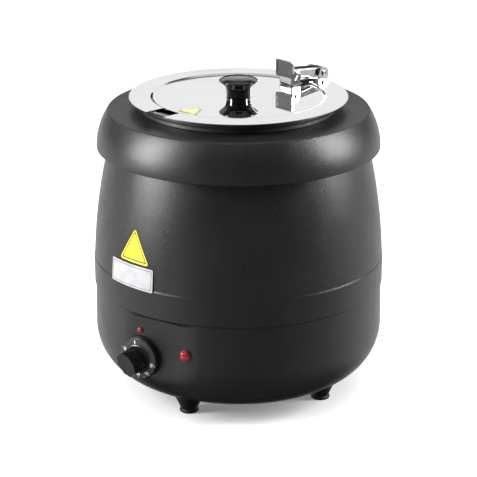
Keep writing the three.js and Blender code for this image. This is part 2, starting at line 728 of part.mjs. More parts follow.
const SCREW_BEARINGS = { front: 45, right: 135, rear: 225, left: 315 };
for (const [side, bearing] of Object.entries(FOOT_BEARINGS)) {
  const footPlace = polar(FOOT_CIRCLE, bearing);
  const screwPlace = polar(BASE_SCREW_CIRCLE, SCREW_BEARINGS[side]);
  kettle.add(
    piece(`foot_${side}`, foot(bearing), blackRubber()),
    piece(`foot_screw_${side}`, footScrew().translate([...footPlace, 0]), galvanised()),
    piece(`base_screw_${side}`, baseScrew().translate([...screwPlace, 0]), galvanised()),
  );
}

kettle.add(
  piece('thermostat_screw_left', thermostatScrew(-DIAL_SCREW), galvanised()),
  piece('thermostat_screw_right', thermostatScrew(DIAL_SCREW), galvanised()),
  onPanel(piece('dial_knob', dialKnob(), blackPlastic()), DIAL),
  onPanel(piece('thermostat_shaft', thermostatShaft(), satinSteel()), DIAL),
  onPanel(piece('pilot_lens', pilotLens(), redLens()), PILOT_LAMP),
  onPanel(piece('pilot_body', pilotBody(), whiteCeramic()), PILOT_LAMP),
  onPanel(piece('index_lens', indexLens(), redLens()), INDEX_LAMP),
);

// Everything that follows the lid's direction.
const lidGroup = new THREE.Group();
lidGroup.rotation.z = LID_BEARING;
lidGroup.add(
  piece('soup_pot', soupPot(), satinSteel()),
  piece('rim_clip', rimClip(), polishedSteel()),
  piece('outer_pin', hingePin(OUTER_PIN), satinSteel()),
  piece('hinge_arm', hingeArm(), polishedSteel()),
  piece('lid_plate', lidPlate(), polishedSteel()),
  piece('lid_bracket', lidBracket(), polishedSteel()),
  piece('inner_pin', hingePin(INNER_PIN), satinSteel()),
  piece('bracket_rivet_left', bracketRivet(-5.5), satinSteel()),
  piece('bracket_rivet_right', bracketRivet(5.5), satinSteel()),
  piece('lid_knob', lidKnob(), blackPlastic()),
  piece('knob_washer', knobWasher(), satinSteel()),
  piece('knob_screw', knobScrew(), satinSteel()),
  piece('lid_label', lidLabel(), yellowFilm()),
);
kettle.add(lidGroup);

export default kettle;
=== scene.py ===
"""Looks of the soup kettle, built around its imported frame. Sizes are in millimetres and are turned
into metres where a mesh is made. Bearings are angles from -Y towards +X, seen from above."""
import json
import math

import bmesh
import bpy
from mathutils import Matrix, Vector

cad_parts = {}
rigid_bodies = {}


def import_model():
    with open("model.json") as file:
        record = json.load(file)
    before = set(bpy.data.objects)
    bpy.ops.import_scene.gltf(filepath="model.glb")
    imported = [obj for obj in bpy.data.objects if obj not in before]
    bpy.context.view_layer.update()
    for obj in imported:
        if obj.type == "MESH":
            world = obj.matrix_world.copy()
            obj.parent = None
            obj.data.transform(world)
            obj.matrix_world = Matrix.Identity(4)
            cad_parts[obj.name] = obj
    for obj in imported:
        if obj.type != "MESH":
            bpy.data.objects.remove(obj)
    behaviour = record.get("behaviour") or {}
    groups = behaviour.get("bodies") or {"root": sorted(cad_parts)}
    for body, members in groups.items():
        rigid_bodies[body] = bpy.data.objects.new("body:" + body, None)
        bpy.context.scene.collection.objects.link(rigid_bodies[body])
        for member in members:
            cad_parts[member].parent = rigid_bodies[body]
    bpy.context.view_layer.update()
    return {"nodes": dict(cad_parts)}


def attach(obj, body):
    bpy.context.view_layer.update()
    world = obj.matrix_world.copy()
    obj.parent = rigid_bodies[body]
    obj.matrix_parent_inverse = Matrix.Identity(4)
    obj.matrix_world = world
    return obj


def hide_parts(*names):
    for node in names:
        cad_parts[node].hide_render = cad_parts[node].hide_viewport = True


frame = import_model()

MM = 0.001

# body and collar
BELLY_RADIUS, BELLY_HEIGHT, WALL_BOW = 169.5, 139.0, 633.0
SHELL_TOP, SHELL_WALL = 300.0, 1.5
BAND_TOP, BAND_BOTTOM, BAND_RADIUS = 163.0, 131.0, 169.7
LOWER_RADIUS, BASE_RADIUS = 168.3, 169.0
BASE_HEIGHT, CORNER, BASE_OPENING = 17.0, 62.0, 96.0
FLAT_DISTANCE, FLAT_TOP = 163.5, 129.0
COLLAR_RADIUS, COLLAR_BOTTOM, COLLAR_ROLL, COLLAR_TOP = 164.0, 293.0, 76.0, 337.0
NECK_OUTER, NECK_INNER, NECK_TOP = 111.5, 109.8, 344.7

# well, pot and lid
WELL_OUTER, WELL_FLOOR = 109.3, 60.0
POT_OUTER, POT_WALL, POT_FLOOR, POT_CORNER = 106.9, 1.2, 101.0, 14.0
POT_RIM_BEND = 4.8  # under the flange, where it meets the wall
FLANGE_RADIUS, FLANGE_TOP, FLANGE_THICKNESS = 118.0, 349.7, 1.5
LID_BEARING = math.radians(-15)
LID_TOP, LID_RADIUS, LID_THICKNESS = 351.0, 126.0, 1.0
RECESS_RADIUS, RECESS = 99.5, 1.8
NOTCH_WIDTH, NOTCH_START, NOTCH_CORNER = 29.0, 98.0, 5.0
REAR_CUT_WIDTH, REAR_CUT_START = 26.0, 110.5

# hinge: outwards distance from the axis and height above the lid's top
INNER_PIN, OUTER_PIN = (82.0, 12.0), (127.0, 6.0)
PIN_RADIUS, EAR_HALF_WIDTH, ARM_HALF_WIDTH, SHEET = 2.0, 11.2, 9.5, 1.3
RIVET_OFFSET = 5.5
CHANNEL_TOP, STOP_HEIGHT = 17.6, 18.2  # STOP_HEIGHT is the middle of the stop plate

# controls: x along the flat and z above the standing surface
DIAL, INDEX_LAMP, PILOT_LAMP = (-25.0, 79.0), (-27.0, 110.6), (34.0, 93.0)
DIAL_PROTRUSION = 32.0

GLAND_HEIGHT = 62.0
FOOT_CIRCLE, BASE_SCREW_CIRCLE = 114.0, 99.8
FOOT_BEARINGS = {"front": 2.5, "right": 90, "rear": 182.5, "left": 270}
SCREW_BEARINGS = {"front": 45, "right": 135, "rear": 225, "left": 315}


# ---- outlines

def arc(centre, radius, start, end, steps):
    """Points (x, y) of an arc between two angles in degrees."""
    angles = [math.radians(start + (end - start) * i / steps) for i in range(steps + 1)]
    return [(centre[0] + radius * math.cos(a), centre[1] + radius * math.sin(a)) for a in angles]


def rounded(corners, closed=False, steps=5):
    """Polyline through corners (x, y, fillet), each corner rounded to its fillet radius."""
    count = len(corners)
    points = []
    for i, (x, y, fillet) in enumerate(corners):
        here = Vector((x, y))
        if fillet == 0 or (not closed and i in (0, count - 1)):
            points.append((x, y))
            continue
        before = Vector(corners[i - 1][:2]) - here
        after = Vector(corners[(i + 1) % count][:2]) - here
        half = before.angle(after) / 2
        reach = min(fillet / math.tan(half), 0.49 * before.length, 0.49 * after.length)
        radius = reach * math.tan(half)
        start = here + before.normalized() * reach
        end = here + after.normalized() * reach
        centre = here + (before.normalized() + after.normalized()).normalized() * radius / math.sin(half)
        first, last = start - centre, end - centre
        turn = first.angle_signed(last)
        for step in range(steps + 1):
            spoke = Matrix.Rotation(-turn * step / steps, 2) @ first
            points.append(tuple(centre + spoke))
    return points


def rectangle(width, height, fillet, centre=(0.0, 0.0), steps=5):
    x, y = width / 2, height / 2
    signs = (-1, -1), (1, -1), (1, 1), (-1, 1)
    corners = [(centre[0] + a * x, centre[1] + b * y, fillet) for a, b in signs]
    return rounded(corners, closed=True, steps=steps)


def divided(points, longest):
    """The same polyline with every long stretch divided."""
    result = [points[0]]
    for a, b in zip(points, points[1:]):
        pieces = max(1, math.ceil(math.dist(a, b) / longest))
        for i in range(1, pieces + 1):
            result.append(tuple(p + (q - p) * i / pieces for p, q in zip(a, b)))
    return result


# ---- meshes

def mesh_object(name, vertices, faces, smooth_angle=32):
    """Mesh object from vertices in millimetres, with its faces turned outwards."""
    mesh = bpy.data.meshes.new(name)
    mesh.from_pydata([Vector(v) * MM for v in vertices], [], faces)
    sheet = bmesh.new()
    sheet.from_mesh(mesh)
    bmesh.ops.remove_doubles(sheet, verts=sheet.verts, dist=1e-7)
    bmesh.ops.recalc_face_normals(sheet, faces=sheet.faces)
    sheet.to_mesh(mesh)
    sheet.free()
    obj = bpy.data.objects.new(name, mesh)
    bpy.context.scene.collection.objects.link(obj)
    smooth(obj, smooth_angle)
    return obj


def smooth(obj, angle=32):
    obj.data.shade_smooth()
    obj.data.set_sharp_from_angle(angle=math.radians(angle))


def turned(name, profile, closed=False, segments=144, bearings=None, place=None, smooth_angle=32):
    """Mesh turned about +Z from (radius, height) points; place moves each (bearing, radius, height)."""
    if bearings is None:
        bearings = [2 * math.pi * i / segments for i in range(segments)]
    vertices, rings = [], []
    for radius, height in profile:
        if radius < 1e-6:
            rings.append([len(vertices)])
            vertices.append((0, 0, height))
            continue
        rings.append(list(range(len(vertices), len(vertices) + len(bearings))))
        for bearing in bearings:
            r, z = place(bearing, radius, height) if place else (radius, height)
            vertices.append((r * math.sin(bearing), -r * math.cos(bearing), z))
    faces = []
    pairs = list(zip(rings, rings[1:]))
    if closed:
        pairs.append((rings[-1], rings[0]))
    for lower, upper in pairs:
        for i in range(len(bearings)):
            j = (i + 1) % len(bearings)
            low, high = len(lower), len(upper)
            corners = (lower[i % low], lower[j % low], upper[j % high], upper[i % high])
            face = list(dict.fromkeys(corners))
            if len(face) > 2:
                faces.append(face)
    return mesh_object(name, vertices, faces, smooth_angle)


AXES = {
    "X": lambda u, v, w: (w, u, v),
    "Y": lambda u, v, w: (u, w, v),
    "Z": lambda u, v, w: (u, v, w),
}


def prism(name, outline, low, high, axis="Z", smooth_angle=32):
    """Outline of (u, v) points pushed from low to high along an axis."""
    point = AXES[axis]
    count = len(outline)
    vertices = [point(u, v, w) for w in (low, high) for u, v in outline]
    sides = [(i, (i + 1) % count, count + (i + 1) % count, count + i) for i in range(count)]
    caps = [tuple(range(count)), tuple(range(count, 2 * count))]
    return mesh_object(name, vertices, sides + caps, smooth_angle)


def rod(name, radius, low, high, axis="Z", centre=(0, 0), sides=32):
    circle = [(centre[0] + u, centre[1] + v) for u, v in arc((0, 0), radius, 0, 360, sides)[:-1]]
    return prism(name, circle, low, high, axis)


def combined(obj, tool, operation="DIFFERENCE"):
    """obj cut by, joined to or limited to tool, which is used up."""
    modifier = obj.modifiers.new("boolean", "BOOLEAN")
    modifier.operation = operation
    modifier.solver = "EXACT"
    modifier.object = tool
    return baked(obj, tool)


def baked(obj, *used):
    """obj with its modifiers applied."""
    graph = bpy.context.evaluated_depsgraph_get()
    graph.update()
    mesh = bpy.data.meshes.new_from_object(obj.evaluated_get(graph))
    old = obj.data
    obj.modifiers.clear()
    obj.data = mesh
    mesh.name = obj.name
    bpy.data.meshes.remove(old)
    for tool in used:
        bpy.data.objects.remove(tool)
    return obj


def softened(obj, width=0.25, segments=2, angle=30):
    """obj with its sharp edges bevelled by width in millimetres."""
    modifier = obj.modifiers.new("bevel", "BEVEL")
    modifier.width = width * MM
    modifier.segments = segments
    modifier.limit_method = "ANGLE"
    modifier.angle_limit = math.radians(angle)
    baked(obj)
    smooth(obj, 40)
    return face_weighted(obj)


def face_weighted(obj):
    """obj shaded by its large faces, so that flat sheet stays flat between its bends."""
    modifier = obj.modifiers.new("normals", "WEIGHTED_NORMAL")
    modifier.mode = "FACE_AREA"
    modifier.keep_sharp = True
    return baked(obj)


def joined(name, *objects):
    """One object from several that don't touch, or that lie in one another."""
    sheet = bmesh.new()
    for obj in objects:
        obj.data.transform(obj.matrix_world)
        sheet.from_mesh(obj.data)
        bpy.data.objects.remove(obj)
    mesh = bpy.data.meshes.new(name)
    sheet.to_mesh(mesh)
    sheet.free()
    result = bpy.data.objects.new(name, mesh)
    bpy.context.scene.collection.objects.link(result)
    smooth(result, 40)
    return result


def shifted(obj, x=0.0, y=0.0, z=0.0, turn=None):
    """obj's mesh turned, then moved by millimetres."""
    if turn is not None:
        obj.data.transform(turn)
    obj.data.transform(Matrix.Translation(Vector((x, y, z)) * MM))
    return obj


LID_TURN = Matrix.Rotation(LID_BEARING, 4, "Z")


def in_lid_frame(obj, lift=LID_TOP):
    """obj, made along the lid's own direction, brought into the kettle's frame."""
    shifted(obj, z=lift)
    obj.data.transform(LID_TURN)
    return obj


PANEL_TURN = Matrix(((1, 0, 0, 0), (0, 0, -1, 0), (0, 1, 0, 0), (0, 0, 0, 1)))


def on_panel(obj, place):
    """obj, made with x right, y up and z outwards, put on the control flat."""
    return shifted(obj, place[0], -FLAT_DISTANCE, place[1], turn=PANEL_TURN)


def polar(radius, bearing):
    angle = math.radians(bearing)
    return radius * math.sin(angle), -radius * math.cos(angle)


def finished(obj, material, body, slot, *nodes):
    """obj with its material, riding on a body, and standing for CAD nodes."""
    obj.data.materials.clear()
    obj.data.materials.append(material)
    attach(obj, body)
    if nodes:
        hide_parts(*nodes)
    return obj


# ---- materials

def added(tree, kind, values, vector=None):
    """New shader node with its socket values set and its Vector input linked."""
    node = tree.nodes.new(f"ShaderNode{kind}")
    for socket, value in values.items():
        node.inputs[socket].default_value = value
    if vector is not None:
        tree.links.new(vector, node.inputs["Vector"])
    return node


def noise(tree, place, scale, detail=3.0):
    return added(tree, "TexNoise", {"Scale": scale, "Detail": detail}, place).outputs["Fac"]


def cells(tree, place, scale):
    node = tree.nodes.new("ShaderNodeTexVoronoi")
    node.feature = "SMOOTH_F1"
    node.inputs["Scale"].default_value = scale
    node.inputs["Smoothness"].default_value = 0.7
    tree.links.new(place, node.inputs["Vector"])
    return node.outputs["Distance"]


def rings(tree, place, scale):
    """Fine turning marks about the Z axis."""
    values = {"Scale": scale, "Distortion": 2.0, "Detail": 2.0, "Detail Scale": 0.5}
    node = added(tree, "TexWave", values, place)
    node.wave_type = "RINGS"
    node.rings_direction = "Z"
    return node.outputs["Fac"]


def streaks(tree, place, scale):
    """Brushing marks along the local Y direction."""
    mapping = added(tree, "Mapping", {"Scale": (1.0, 0.03, 1.0)}, place)
    return noise(tree, mapping.outputs["Vector"], scale, detail=4.0)


GRAINS = {"noise": noise, "cells": cells, "rings": rings, "streaks": streaks}


def grey(value, tint=0.0):
    return value, value, value + tint


def surface(name, dark, light, rough, drift, *grains, metallic=0.0, tint=0.0, sockets=None):
    """Procedural material: colour drifts from dark to light and roughness over a range with a slow
    noise, and grains of (kind, scale per metre, depth in mm) raise the surface. A colour that is
    one number is a grey with a tint of blue."""
    material = bpy.data.materials.new(name)
    material.use_nodes = True
    tree = material.node_tree
    shader = tree.nodes["Principled BSDF"]
    shader.inputs["Metallic"].default_value = metallic
    for socket, value in (sockets or {}).items():
        shader.inputs[socket].default_value = value
    place = tree.nodes.new("ShaderNodeTexCoord").outputs["Object"]
    ramp = tree.nodes.new("ShaderNodeValToRGB")
    for element, position, colour in zip(ramp.color_ramp.elements, (0.3, 0.7), (dark, light)):
        element.position = position
        element.color = (*(colour if isinstance(colour, tuple) else grey(colour, tint)), 1)
    tree.links.new(noise(tree, place, drift), ramp.inputs["Fac"])
    tree.links.new(ramp.outputs["Color"], shader.inputs["Base Color"])
    span = {"From Min": 0.3, "From Max": 0.7, "To Min": rough[0], "To Max": rough[1]}
    spread = added(tree, "MapRange", span)
    tree.links.new(noise(tree, place, 2.3 * drift), spread.inputs["Value"])
    tree.links.new(spread.outputs["Result"], shader.inputs["Roughness"])
    normal = shader.inputs["Normal"]
    for kind, scale, depth in reversed(grains):
        bump = added(tree, "Bump", {"Strength": 1.0, "Distance": depth * MM})
        tree.links.new(GRAINS[kind](tree, place, scale), bump.inputs["Height"])
        tree.links.new(bump.outputs["Normal"], normal)
        normal = bump.inputs["Normal"]
    return material


POWDER_COAT = surface(
    "powder_coat", 0.009, 0.012, (0.27, 0.33), 18, ("noise", 1000, 0.24), ("noise", 2200, 0.08), tint=0.0003)
NECK_COAT = surface(
    "neck_coat", 0.010, 0.017, (0.42, 0.55), 60, ("cells", 700, 0.12), ("noise", 1600, 0.06))
MIRROR_STEEL = surface(
    "mirror_steel", 0.76, 0.80, (0.02, 0.05), 14, ("noise", 9, 0.03), metallic=1.0, tint=0.01)
HINGE_STEEL = surface(
    "hinge_steel", 0.68, 0.78, (0.02, 0.06), 160, ("streaks", 1400, 0.001), metallic=1.0, tint=0.01)
TURNED_STEEL = surface(
    "turned_steel", 0.58, 0.68, (0.20, 0.30), 25, ("rings", 420, 0.006), ("noise", 900, 0.006),
    metallic=1.0, tint=0.01)
SATIN_SHEET = surface(
    "satin_sheet", 0.70, 0.80, (0.30, 0.38), 200, ("noise", 1500, 0.02), metallic=1.0, tint=0.01)
PIN_STEEL = surface(
    "pin_steel", 0.62, 0.76, (0.12, 0.24), 240, ("noise", 1800, 0.01), metallic=1.0, tint=0.01)
KNOB_PLASTIC = surface(
    "knob_plastic", 0.006, 0.009, (0.08, 0.14), 60, ("noise", 260, 0.02),
    sockets={"Coat Weight": 0.4, "Coat Roughness": 0.05})
DIAL_PLASTIC = surface("dial_plastic", 0.005, 0.009, (0.26, 0.34), 90, ("noise", 2200, 0.015))
# The dial's face band is a lighter grey copy of its black plastic: a painted sheen for the light that its
# sloped face catches.
DIAL_FACE_SHEEN = surface("dial_face_sheen", 0.016, 0.030, (0.30, 0.38), 120, ("rings", 900, 0.01))
GLAND_PLASTIC = surface("gland_plastic", 0.010, 0.016, (0.38, 0.5), 90, ("noise", 1800, 0.03))
FOOT_RUBBER = surface("foot_rubber", 0.003, 0.006, (0.45, 0.6), 120, ("noise", 1500, 0.05))
DIAL_PRINT = surface("dial_print", 0.62, 0.80, (0.45, 0.6), 700, ("noise", 3000, 0.01))
RED_LENS = surface(
    "red_lens", (0.14, 0.010, 0.013), (0.25, 0.020, 0.024), (0.14, 0.24), 300, ("noise", 500, 0.01),
    sockets={"Coat Weight": 0.5, "Coat Roughness": 0.1})
YELLOW_FILM = surface(
    "yellow_film", (0.86, 0.64, 0.012), (0.90, 0.70, 0.02), (0.30, 0.42), 150, ("noise", 900, 0.01))
GLOSSY_YELLOW = surface(
    "glossy_yellow_film", (0.60, 0.57, 0.17), (0.68, 0.65, 0.24), (0.22, 0.30), 150, ("noise", 500, 0.01),
    sockets={"Coat Weight": 1.0, "Coat Roughness": 0.04})
LABEL_INK = surface("label_ink", 0.018, 0.035, (0.35, 0.5), 400, ("noise", 1600, 0.01))
SILVER_FILM = surface(
    "silver_film", grey(0.40, 0.01), grey(0.50, 0.012), (0.30, 0.42), 80, ("streaks", 1800, 0.008),
    metallic=0.35)
ZINC = surface(
    "zinc_plate", grey(0.34, 0.01), grey(0.50, 0.015), (0.30, 0.46), 140, ("cells", 260, 0.01),
    ("noise", 1500, 0.008), metallic=0.9)
BRASS = surface(
    "brass", (0.48, 0.32, 0.10), (0.60, 0.42, 0.15), (0.25, 0.4), 200, ("noise", 1400, 0.01), metallic=1.0)
CERAMIC = surface("ceramic", (0.66, 0.64, 0.58), (0.76, 0.74, 0.68), (0.5, 0.65), 90, ("noise", 1200, 0.03))
GLASS_WOOL = surface(
    "glass_wool", (0.55, 0.48, 0.26), (0.74, 0.68, 0.46), (0.9, 1.0), 120, ("noise", 400, 1.2),
    ("streaks", 900, 0.6))
SLEEVES = {
    node: surface(name, dark, light, (0.4, 0.55), 300, ("noise", 1500, 0.02))
    for node, name, dark, light in (
        ("live_wire", "brown_sleeve", (0.09, 0.03, 0.012), (0.14, 0.05, 0.02)),
        ("neutral_wire", "blue_sleeve", (0.015, 0.06, 0.28), (0.03, 0.10, 0.38)),
        ("lamp_wire", "green_sleeve", (0.09, 0.26, 0.02), (0.15, 0.38, 0.05)))}


# ---- body

def wall_radius(height):
    return BELLY_RADIUS - (height - BELLY_HEIGHT) ** 2 / (2 * WALL_BOW)


def soft_min(a, b, blend):
    overlap = max(blend - abs(a - b), 0) / blend
    return min(a, b) - overlap * overlap * blend / 4


def smooth_step(value, start, end):
    t = min(max((value - start) / (end - start), 0), 1)
    return t * t * (3 - 2 * t)


def pressed_flat(inset):
    """Moves points of the wall onto the control flat, which lies inset behind its outer face."""
    def place(bearing, radius, height):
        facing = math.cos(bearing)
        if facing <= 0.5 or height > FLAT_TOP + 3:
            return radius, height
        flat = soft_min(radius, (FLAT_DISTANCE - inset) / facing, 3.0)
        share = smooth_step(height, FLAT_TOP + 1.2, FLAT_TOP - 1.6)
        return radius + (flat - radius) * share, height
    return place


def fine_bearings():
    """Bearings round the body, close together across the control flat."""
    edge = 24
    fine = [edge * i / 64 for i in range(-64, 64)]
    coarse = [edge + (360 - 2 * edge) * i / 208 for i in range(208)]
    return [math.radians(b) for b in fine + coarse]


def body_wall(inset):
    """Wall from under the collar to the bottom opening, inset behind the outer face."""
    heights = [SHELL_TOP - (SHELL_TOP - BAND_TOP - 3.5) * i / 40 for i in range(41)]
    upper = [(wall_radius(z) - inset, z) for z in heights]
    band = rounded([
        (wall_radius(BAND_TOP + 3.5) - inset, BAND_TOP + 3.5, 0),
        (wall_radius(BAND_TOP) - 0.15 - inset, BAND_TOP + 1.0, 1.6),
        (BAND_RADIUS - inset, BAND_TOP - 1.2, 1.6),
        (BAND_RADIUS - inset, BAND_BOTTOM + 0.4, 0.8),
        (LOWER_RADIUS - inset, BAND_BOTTOM - 0.5, 0.8),
        (BASE_RADIUS - inset, BASE_HEIGHT + CORNER, 0),
    ])
    corner = arc((BASE_RADIUS - CORNER, BASE_HEIGHT + CORNER), CORNER - inset, 0, -90, 28)
    return upper[:-1] + divided(band, 1.6)[:-1] + corner


def build_body():
    outer = body_wall(0.0)
    inner = body_wall(SHELL_WALL)
    lip = rounded([
        (*outer[-1], 0), (BASE_OPENING, BASE_HEIGHT, 0.5),
        (BASE_OPENING, BASE_HEIGHT + SHELL_WALL, 0.5), (*inner[-1], 0)], steps=3)
    outside = pressed_flat(0.0)
    inside = pressed_flat(SHELL_WALL)
    inner_points = set(inner)

    def place(bearing, radius, height):
        chosen = inside if (radius, height) in inner_points else outside
        return chosen(bearing, radius, height)

    profile = outer[:-1] + lip + inner[::-1][1:]
    body = turned("kettle_body", profile, closed=True, bearings=fine_bearings(), place=place)
    for x, z, radius in ((*DIAL, 5.0), (*PILOT_LAMP, 5.0), (*INDEX_LAMP, 2.4)):
        combined(body, rod("hole", radius, -200, -140, "Y", (x, z), sides=40))
    combined(body, rod("hole", 9.5, 140, 200, "Y", (0, GLAND_HEIGHT), sides=40))
    smooth(body, 32)
    finished(body, POWDER_COAT, "housing", "black_paint", "outer_shell")


def build_collar():
    wall = 1.6
    centre = (COLLAR_RADIUS - COLLAR_ROLL, COLLAR_BOTTOM)
    crease = math.degrees(math.asin((COLLAR_TOP - COLLAR_BOTTOM) / COLLAR_ROLL))
    outer = arc(centre, COLLAR_ROLL, 1.2, crease - 1.6, 26)
    inner = arc(centre, COLLAR_ROLL - wall, crease - 3, 2.4, 16)
    crease_radius = centre[0] + COLLAR_ROLL * math.cos(math.radians(crease))
    shoulder = rounded([
        (*outer[-1], 0), (crease_radius, COLLAR_TOP, 2.4), (NECK_OUTER, COLLAR_TOP, 1.2),
        (NECK_OUTER, NECK_TOP, 0.3), (NECK_INNER, NECK_TOP, 0.3), (NECK_INNER, COLLAR_TOP - wall, 0.6),
        (crease_radius - 1.2, COLLAR_TOP - wall, 2.0), (*inner[0], 0)])
    lip_radius = wall_radius(COLLAR_BOTTOM) + 0.6
    hem = rounded([
        (*inner[-1], 0), (COLLAR_RADIUS - wall - 0.2, COLLAR_BOTTOM + wall, 0.4),
        (lip_radius, COLLAR_BOTTOM + wall, 0.4), (lip_radius, COLLAR_BOTTOM, 0.4),
        (COLLAR_RADIUS, COLLAR_BOTTOM, 1.2), (*outer[0], 0)])
    profile = outer[:-1] + shoulder[:-1] + inner[:-1] + hem[:-1]
    collar = turned("kettle_collar", profile, closed=True, segments=216)
    finished(collar, POWDER_COAT, "housing", "black_paint", "top_collar")


def build_neck_ring():
    top = FLANGE_TOP - FLANGE_THICKNESS - 0.3
    inner = WELL_OUTER + 0.5
    profile = rounded([
        (NECK_OUTER + 0.3, COLLAR_TOP + 0.3, 0), (NECK_OUTER + 1.9, COLLAR_TOP + 0.3, 0.4),
        (NECK_OUTER + 1.3, COLLAR_TOP + 4, 2.0), (NECK_OUTER + 1.9, COLLAR_TOP + 6.4, 1.2),
        (NECK_OUTER + 1.9, top - 0.8, 0.4), (NECK_OUTER + 1.1, top, 0.4), (inner, top, 0.3),
        (inner, top - 1.2, 0.3), (NECK_OUTER + 0.3, top - 1.2, 0.2), (NECK_OUTER + 0.3, COLLAR_TOP + 0.3, 0)])
    ring = turned("neck_ring", profile[:-1], closed=True, segments=180)
    finished(ring, NECK_COAT, "housing", "black_rubber", "neck_seal")


def build_well():
    wall, corner = 1.0, 12.0
    flange = NECK_TOP + 0.3
    centre = (WELL_OUTER - corner, WELL_FLOOR + corner)
    outside = rounded([
        (WELL_OUTER, centre[1], 0), (WELL_OUTER, flange, 0.4), (NECK_OUTER, flange, 0.3),
        (NECK_OUTER, flange + wall, 0.3), (WELL_OUTER - wall, flange + wall, 0.8),
        (WELL_OUTER - wall, centre[1], 0)], steps=3)
    profile = [(0, WELL_FLOOR), (60, WELL_FLOOR)]
    profile += arc(centre, corner, -90, 0, 10)[:-1] + outside[:-1]
    profile += arc(centre, corner - wall, 0, -90, 10) + [(60, WELL_FLOOR + wall), (0, WELL_FLOOR + wall)]
    well = turned("well_pan", profile, segments=180)
    finished(well, TURNED_STEEL, "housing", "satin_steel", "water_vessel")


def build_base():
    bottom = BASE_HEIGHT + SHELL_WALL + 0.3
    beads = []
    for radius in (36.0, 66.0):
        beads += [(radius - 4, 0, 1.2), (radius - 2, 1.1, 1.2), (radius + 2, 1.1, 1.2), (radius + 4, 0, 1.2)]
    under = [(0, 0, 0)] + beads + [(104, 0, 0)]
    lower = rounded([(r, bottom + min(lift, 0.7), f) for r, lift, f in under])
    upper = [(r, z + SHELL_WALL - 0.7) for r, z in reversed(lower)]
    plate = turned("underside_plate", lower + upper, segments=120)
    for i in range(24):
        x, y = polar(51, 15 * i)
        slot = prism("slot", rectangle(12, 2.4, 1.1), 0, 40)
        turn = Matrix.Rotation(math.radians(15 * i + 90), 4, "Z")
        combined(plate, shifted(slot, x, y, turn=turn))
    for bearing in (45, 135, 225, 315):
        combined(plate, rod("hole", 1.9, 0, 40, centre=polar(BASE_SCREW_CIRCLE, bearing)))
    smooth(plate)
    finished(plate, ZINC, "housing", "galvanised", "base_plate")


def cross_recess(size, depth, low):
    """Cutter for a cross-head recess that opens downwards at height low."""
    bar = prism("bar", rectangle(size, size * 0.26, 0.1), low - 1, low + depth)
    other = prism("bar", rectangle(size * 0.26, size, 0.1), low - 1, low + depth)
    return combined(bar, other, "UNION")


def build_feet():
    for side, bearing in FOOT_BEARINGS.items():
        x, y = polar(FOOT_CIRCLE, bearing)
        profile = rounded([
            (2.4, 5.5, 0), (5, 5.5, 0.4), (5, 0, 0.6), (11.2, 0, 1.0), (11.2, 2.6, 0.8), (9.8, 3.6, 1.0),
            (10.6, 6, 3.0), (14.2, 14, 6.0), (17, 20.5, 1.0)], steps=4)

        def under(px, py):
            reach = max(math.hypot(px, py) - (BASE_RADIUS - CORNER), 0)
            return BASE_HEIGHT - 0.35 + CORNER - math.sqrt(CORNER ** 2 - reach ** 2)

        vertices, faces, sides = [], [], 48
        rows = profile + [(17.1, None), (8.0, None), (2.4, None)]
        for radius, height in rows:
            for i in range(sides):
                angle = 2 * math.pi * i / sides
                px, py = x + radius * math.cos(angle), y + radius * math.sin(angle)
                vertices.append((px, py, under(px, py) if height is None else min(height, under(px, py))))
        for row in range(len(rows)):
            above = (row + 1) % len(rows)
            for i in range(sides):
                j = (i + 1) % sides
                faces.append((row * sides + i, row * sides + j, above * sides + j, above * sides + i))
        foot = mesh_object(f"rubber_foot_{side}", vertices, faces)
        finished(foot, FOOT_RUBBER, "housing", "black_rubber", f"foot_{side}")
        build_screw(f"foot_bolt_{side}", (x, y), 2.6, 4.2, 2.0, 2.6, 27, f"foot_screw_{side}")


def build_screw(name, place, low, head, shank, head_height, top, node):
    """Pan-head screw with a cross recess, standing head down."""
    profile = rounded([
        (0, low, 0), (head * 0.6, low, 1.5), (head, low + head_height * 0.45, 0.6),
        (head, low + head_height, 0.2), (shank, low + head_height, 0.2)], steps=4)
    pitch = 1.0
    height = low + head_height + 1.5
    while height < top - 1.5:
        profile += [(shank, height), (shank * 0.84, height + pitch / 2)]
        height += pitch
    profile += [(shank * 0.7, top), (0, top)]
    screw = turned(name, profile, segments=28)
    combined(screw, cross_recess(head * 1.15, 1.4, low))
    shifted(screw, *place)
    smooth(screw, 30)
    finished(screw, ZINC, "housing", "galvanised", node)


def build_base_screws():
    for side, bearing in SCREW_BEARINGS.items():
        place = polar(BASE_SCREW_CIRCLE, bearing)
        low = BASE_HEIGHT - 2.2
        top = BASE_HEIGHT + 9
        build_screw(f"base_fixing_{side}", place, low, 3.4, 1.5, 1.9, top, f"base_screw_{side}")


# ---- controls and labels

FACE_OUTER, FACE_INNER = 23.7, 16.6  # the skirt's cone that carries the scale
FACE_LOW, FACE_HIGH = 7.9, 9.3
FACE_SLOPE = (FACE_HIGH - FACE_LOW) / (FACE_OUTER - FACE_INNER)


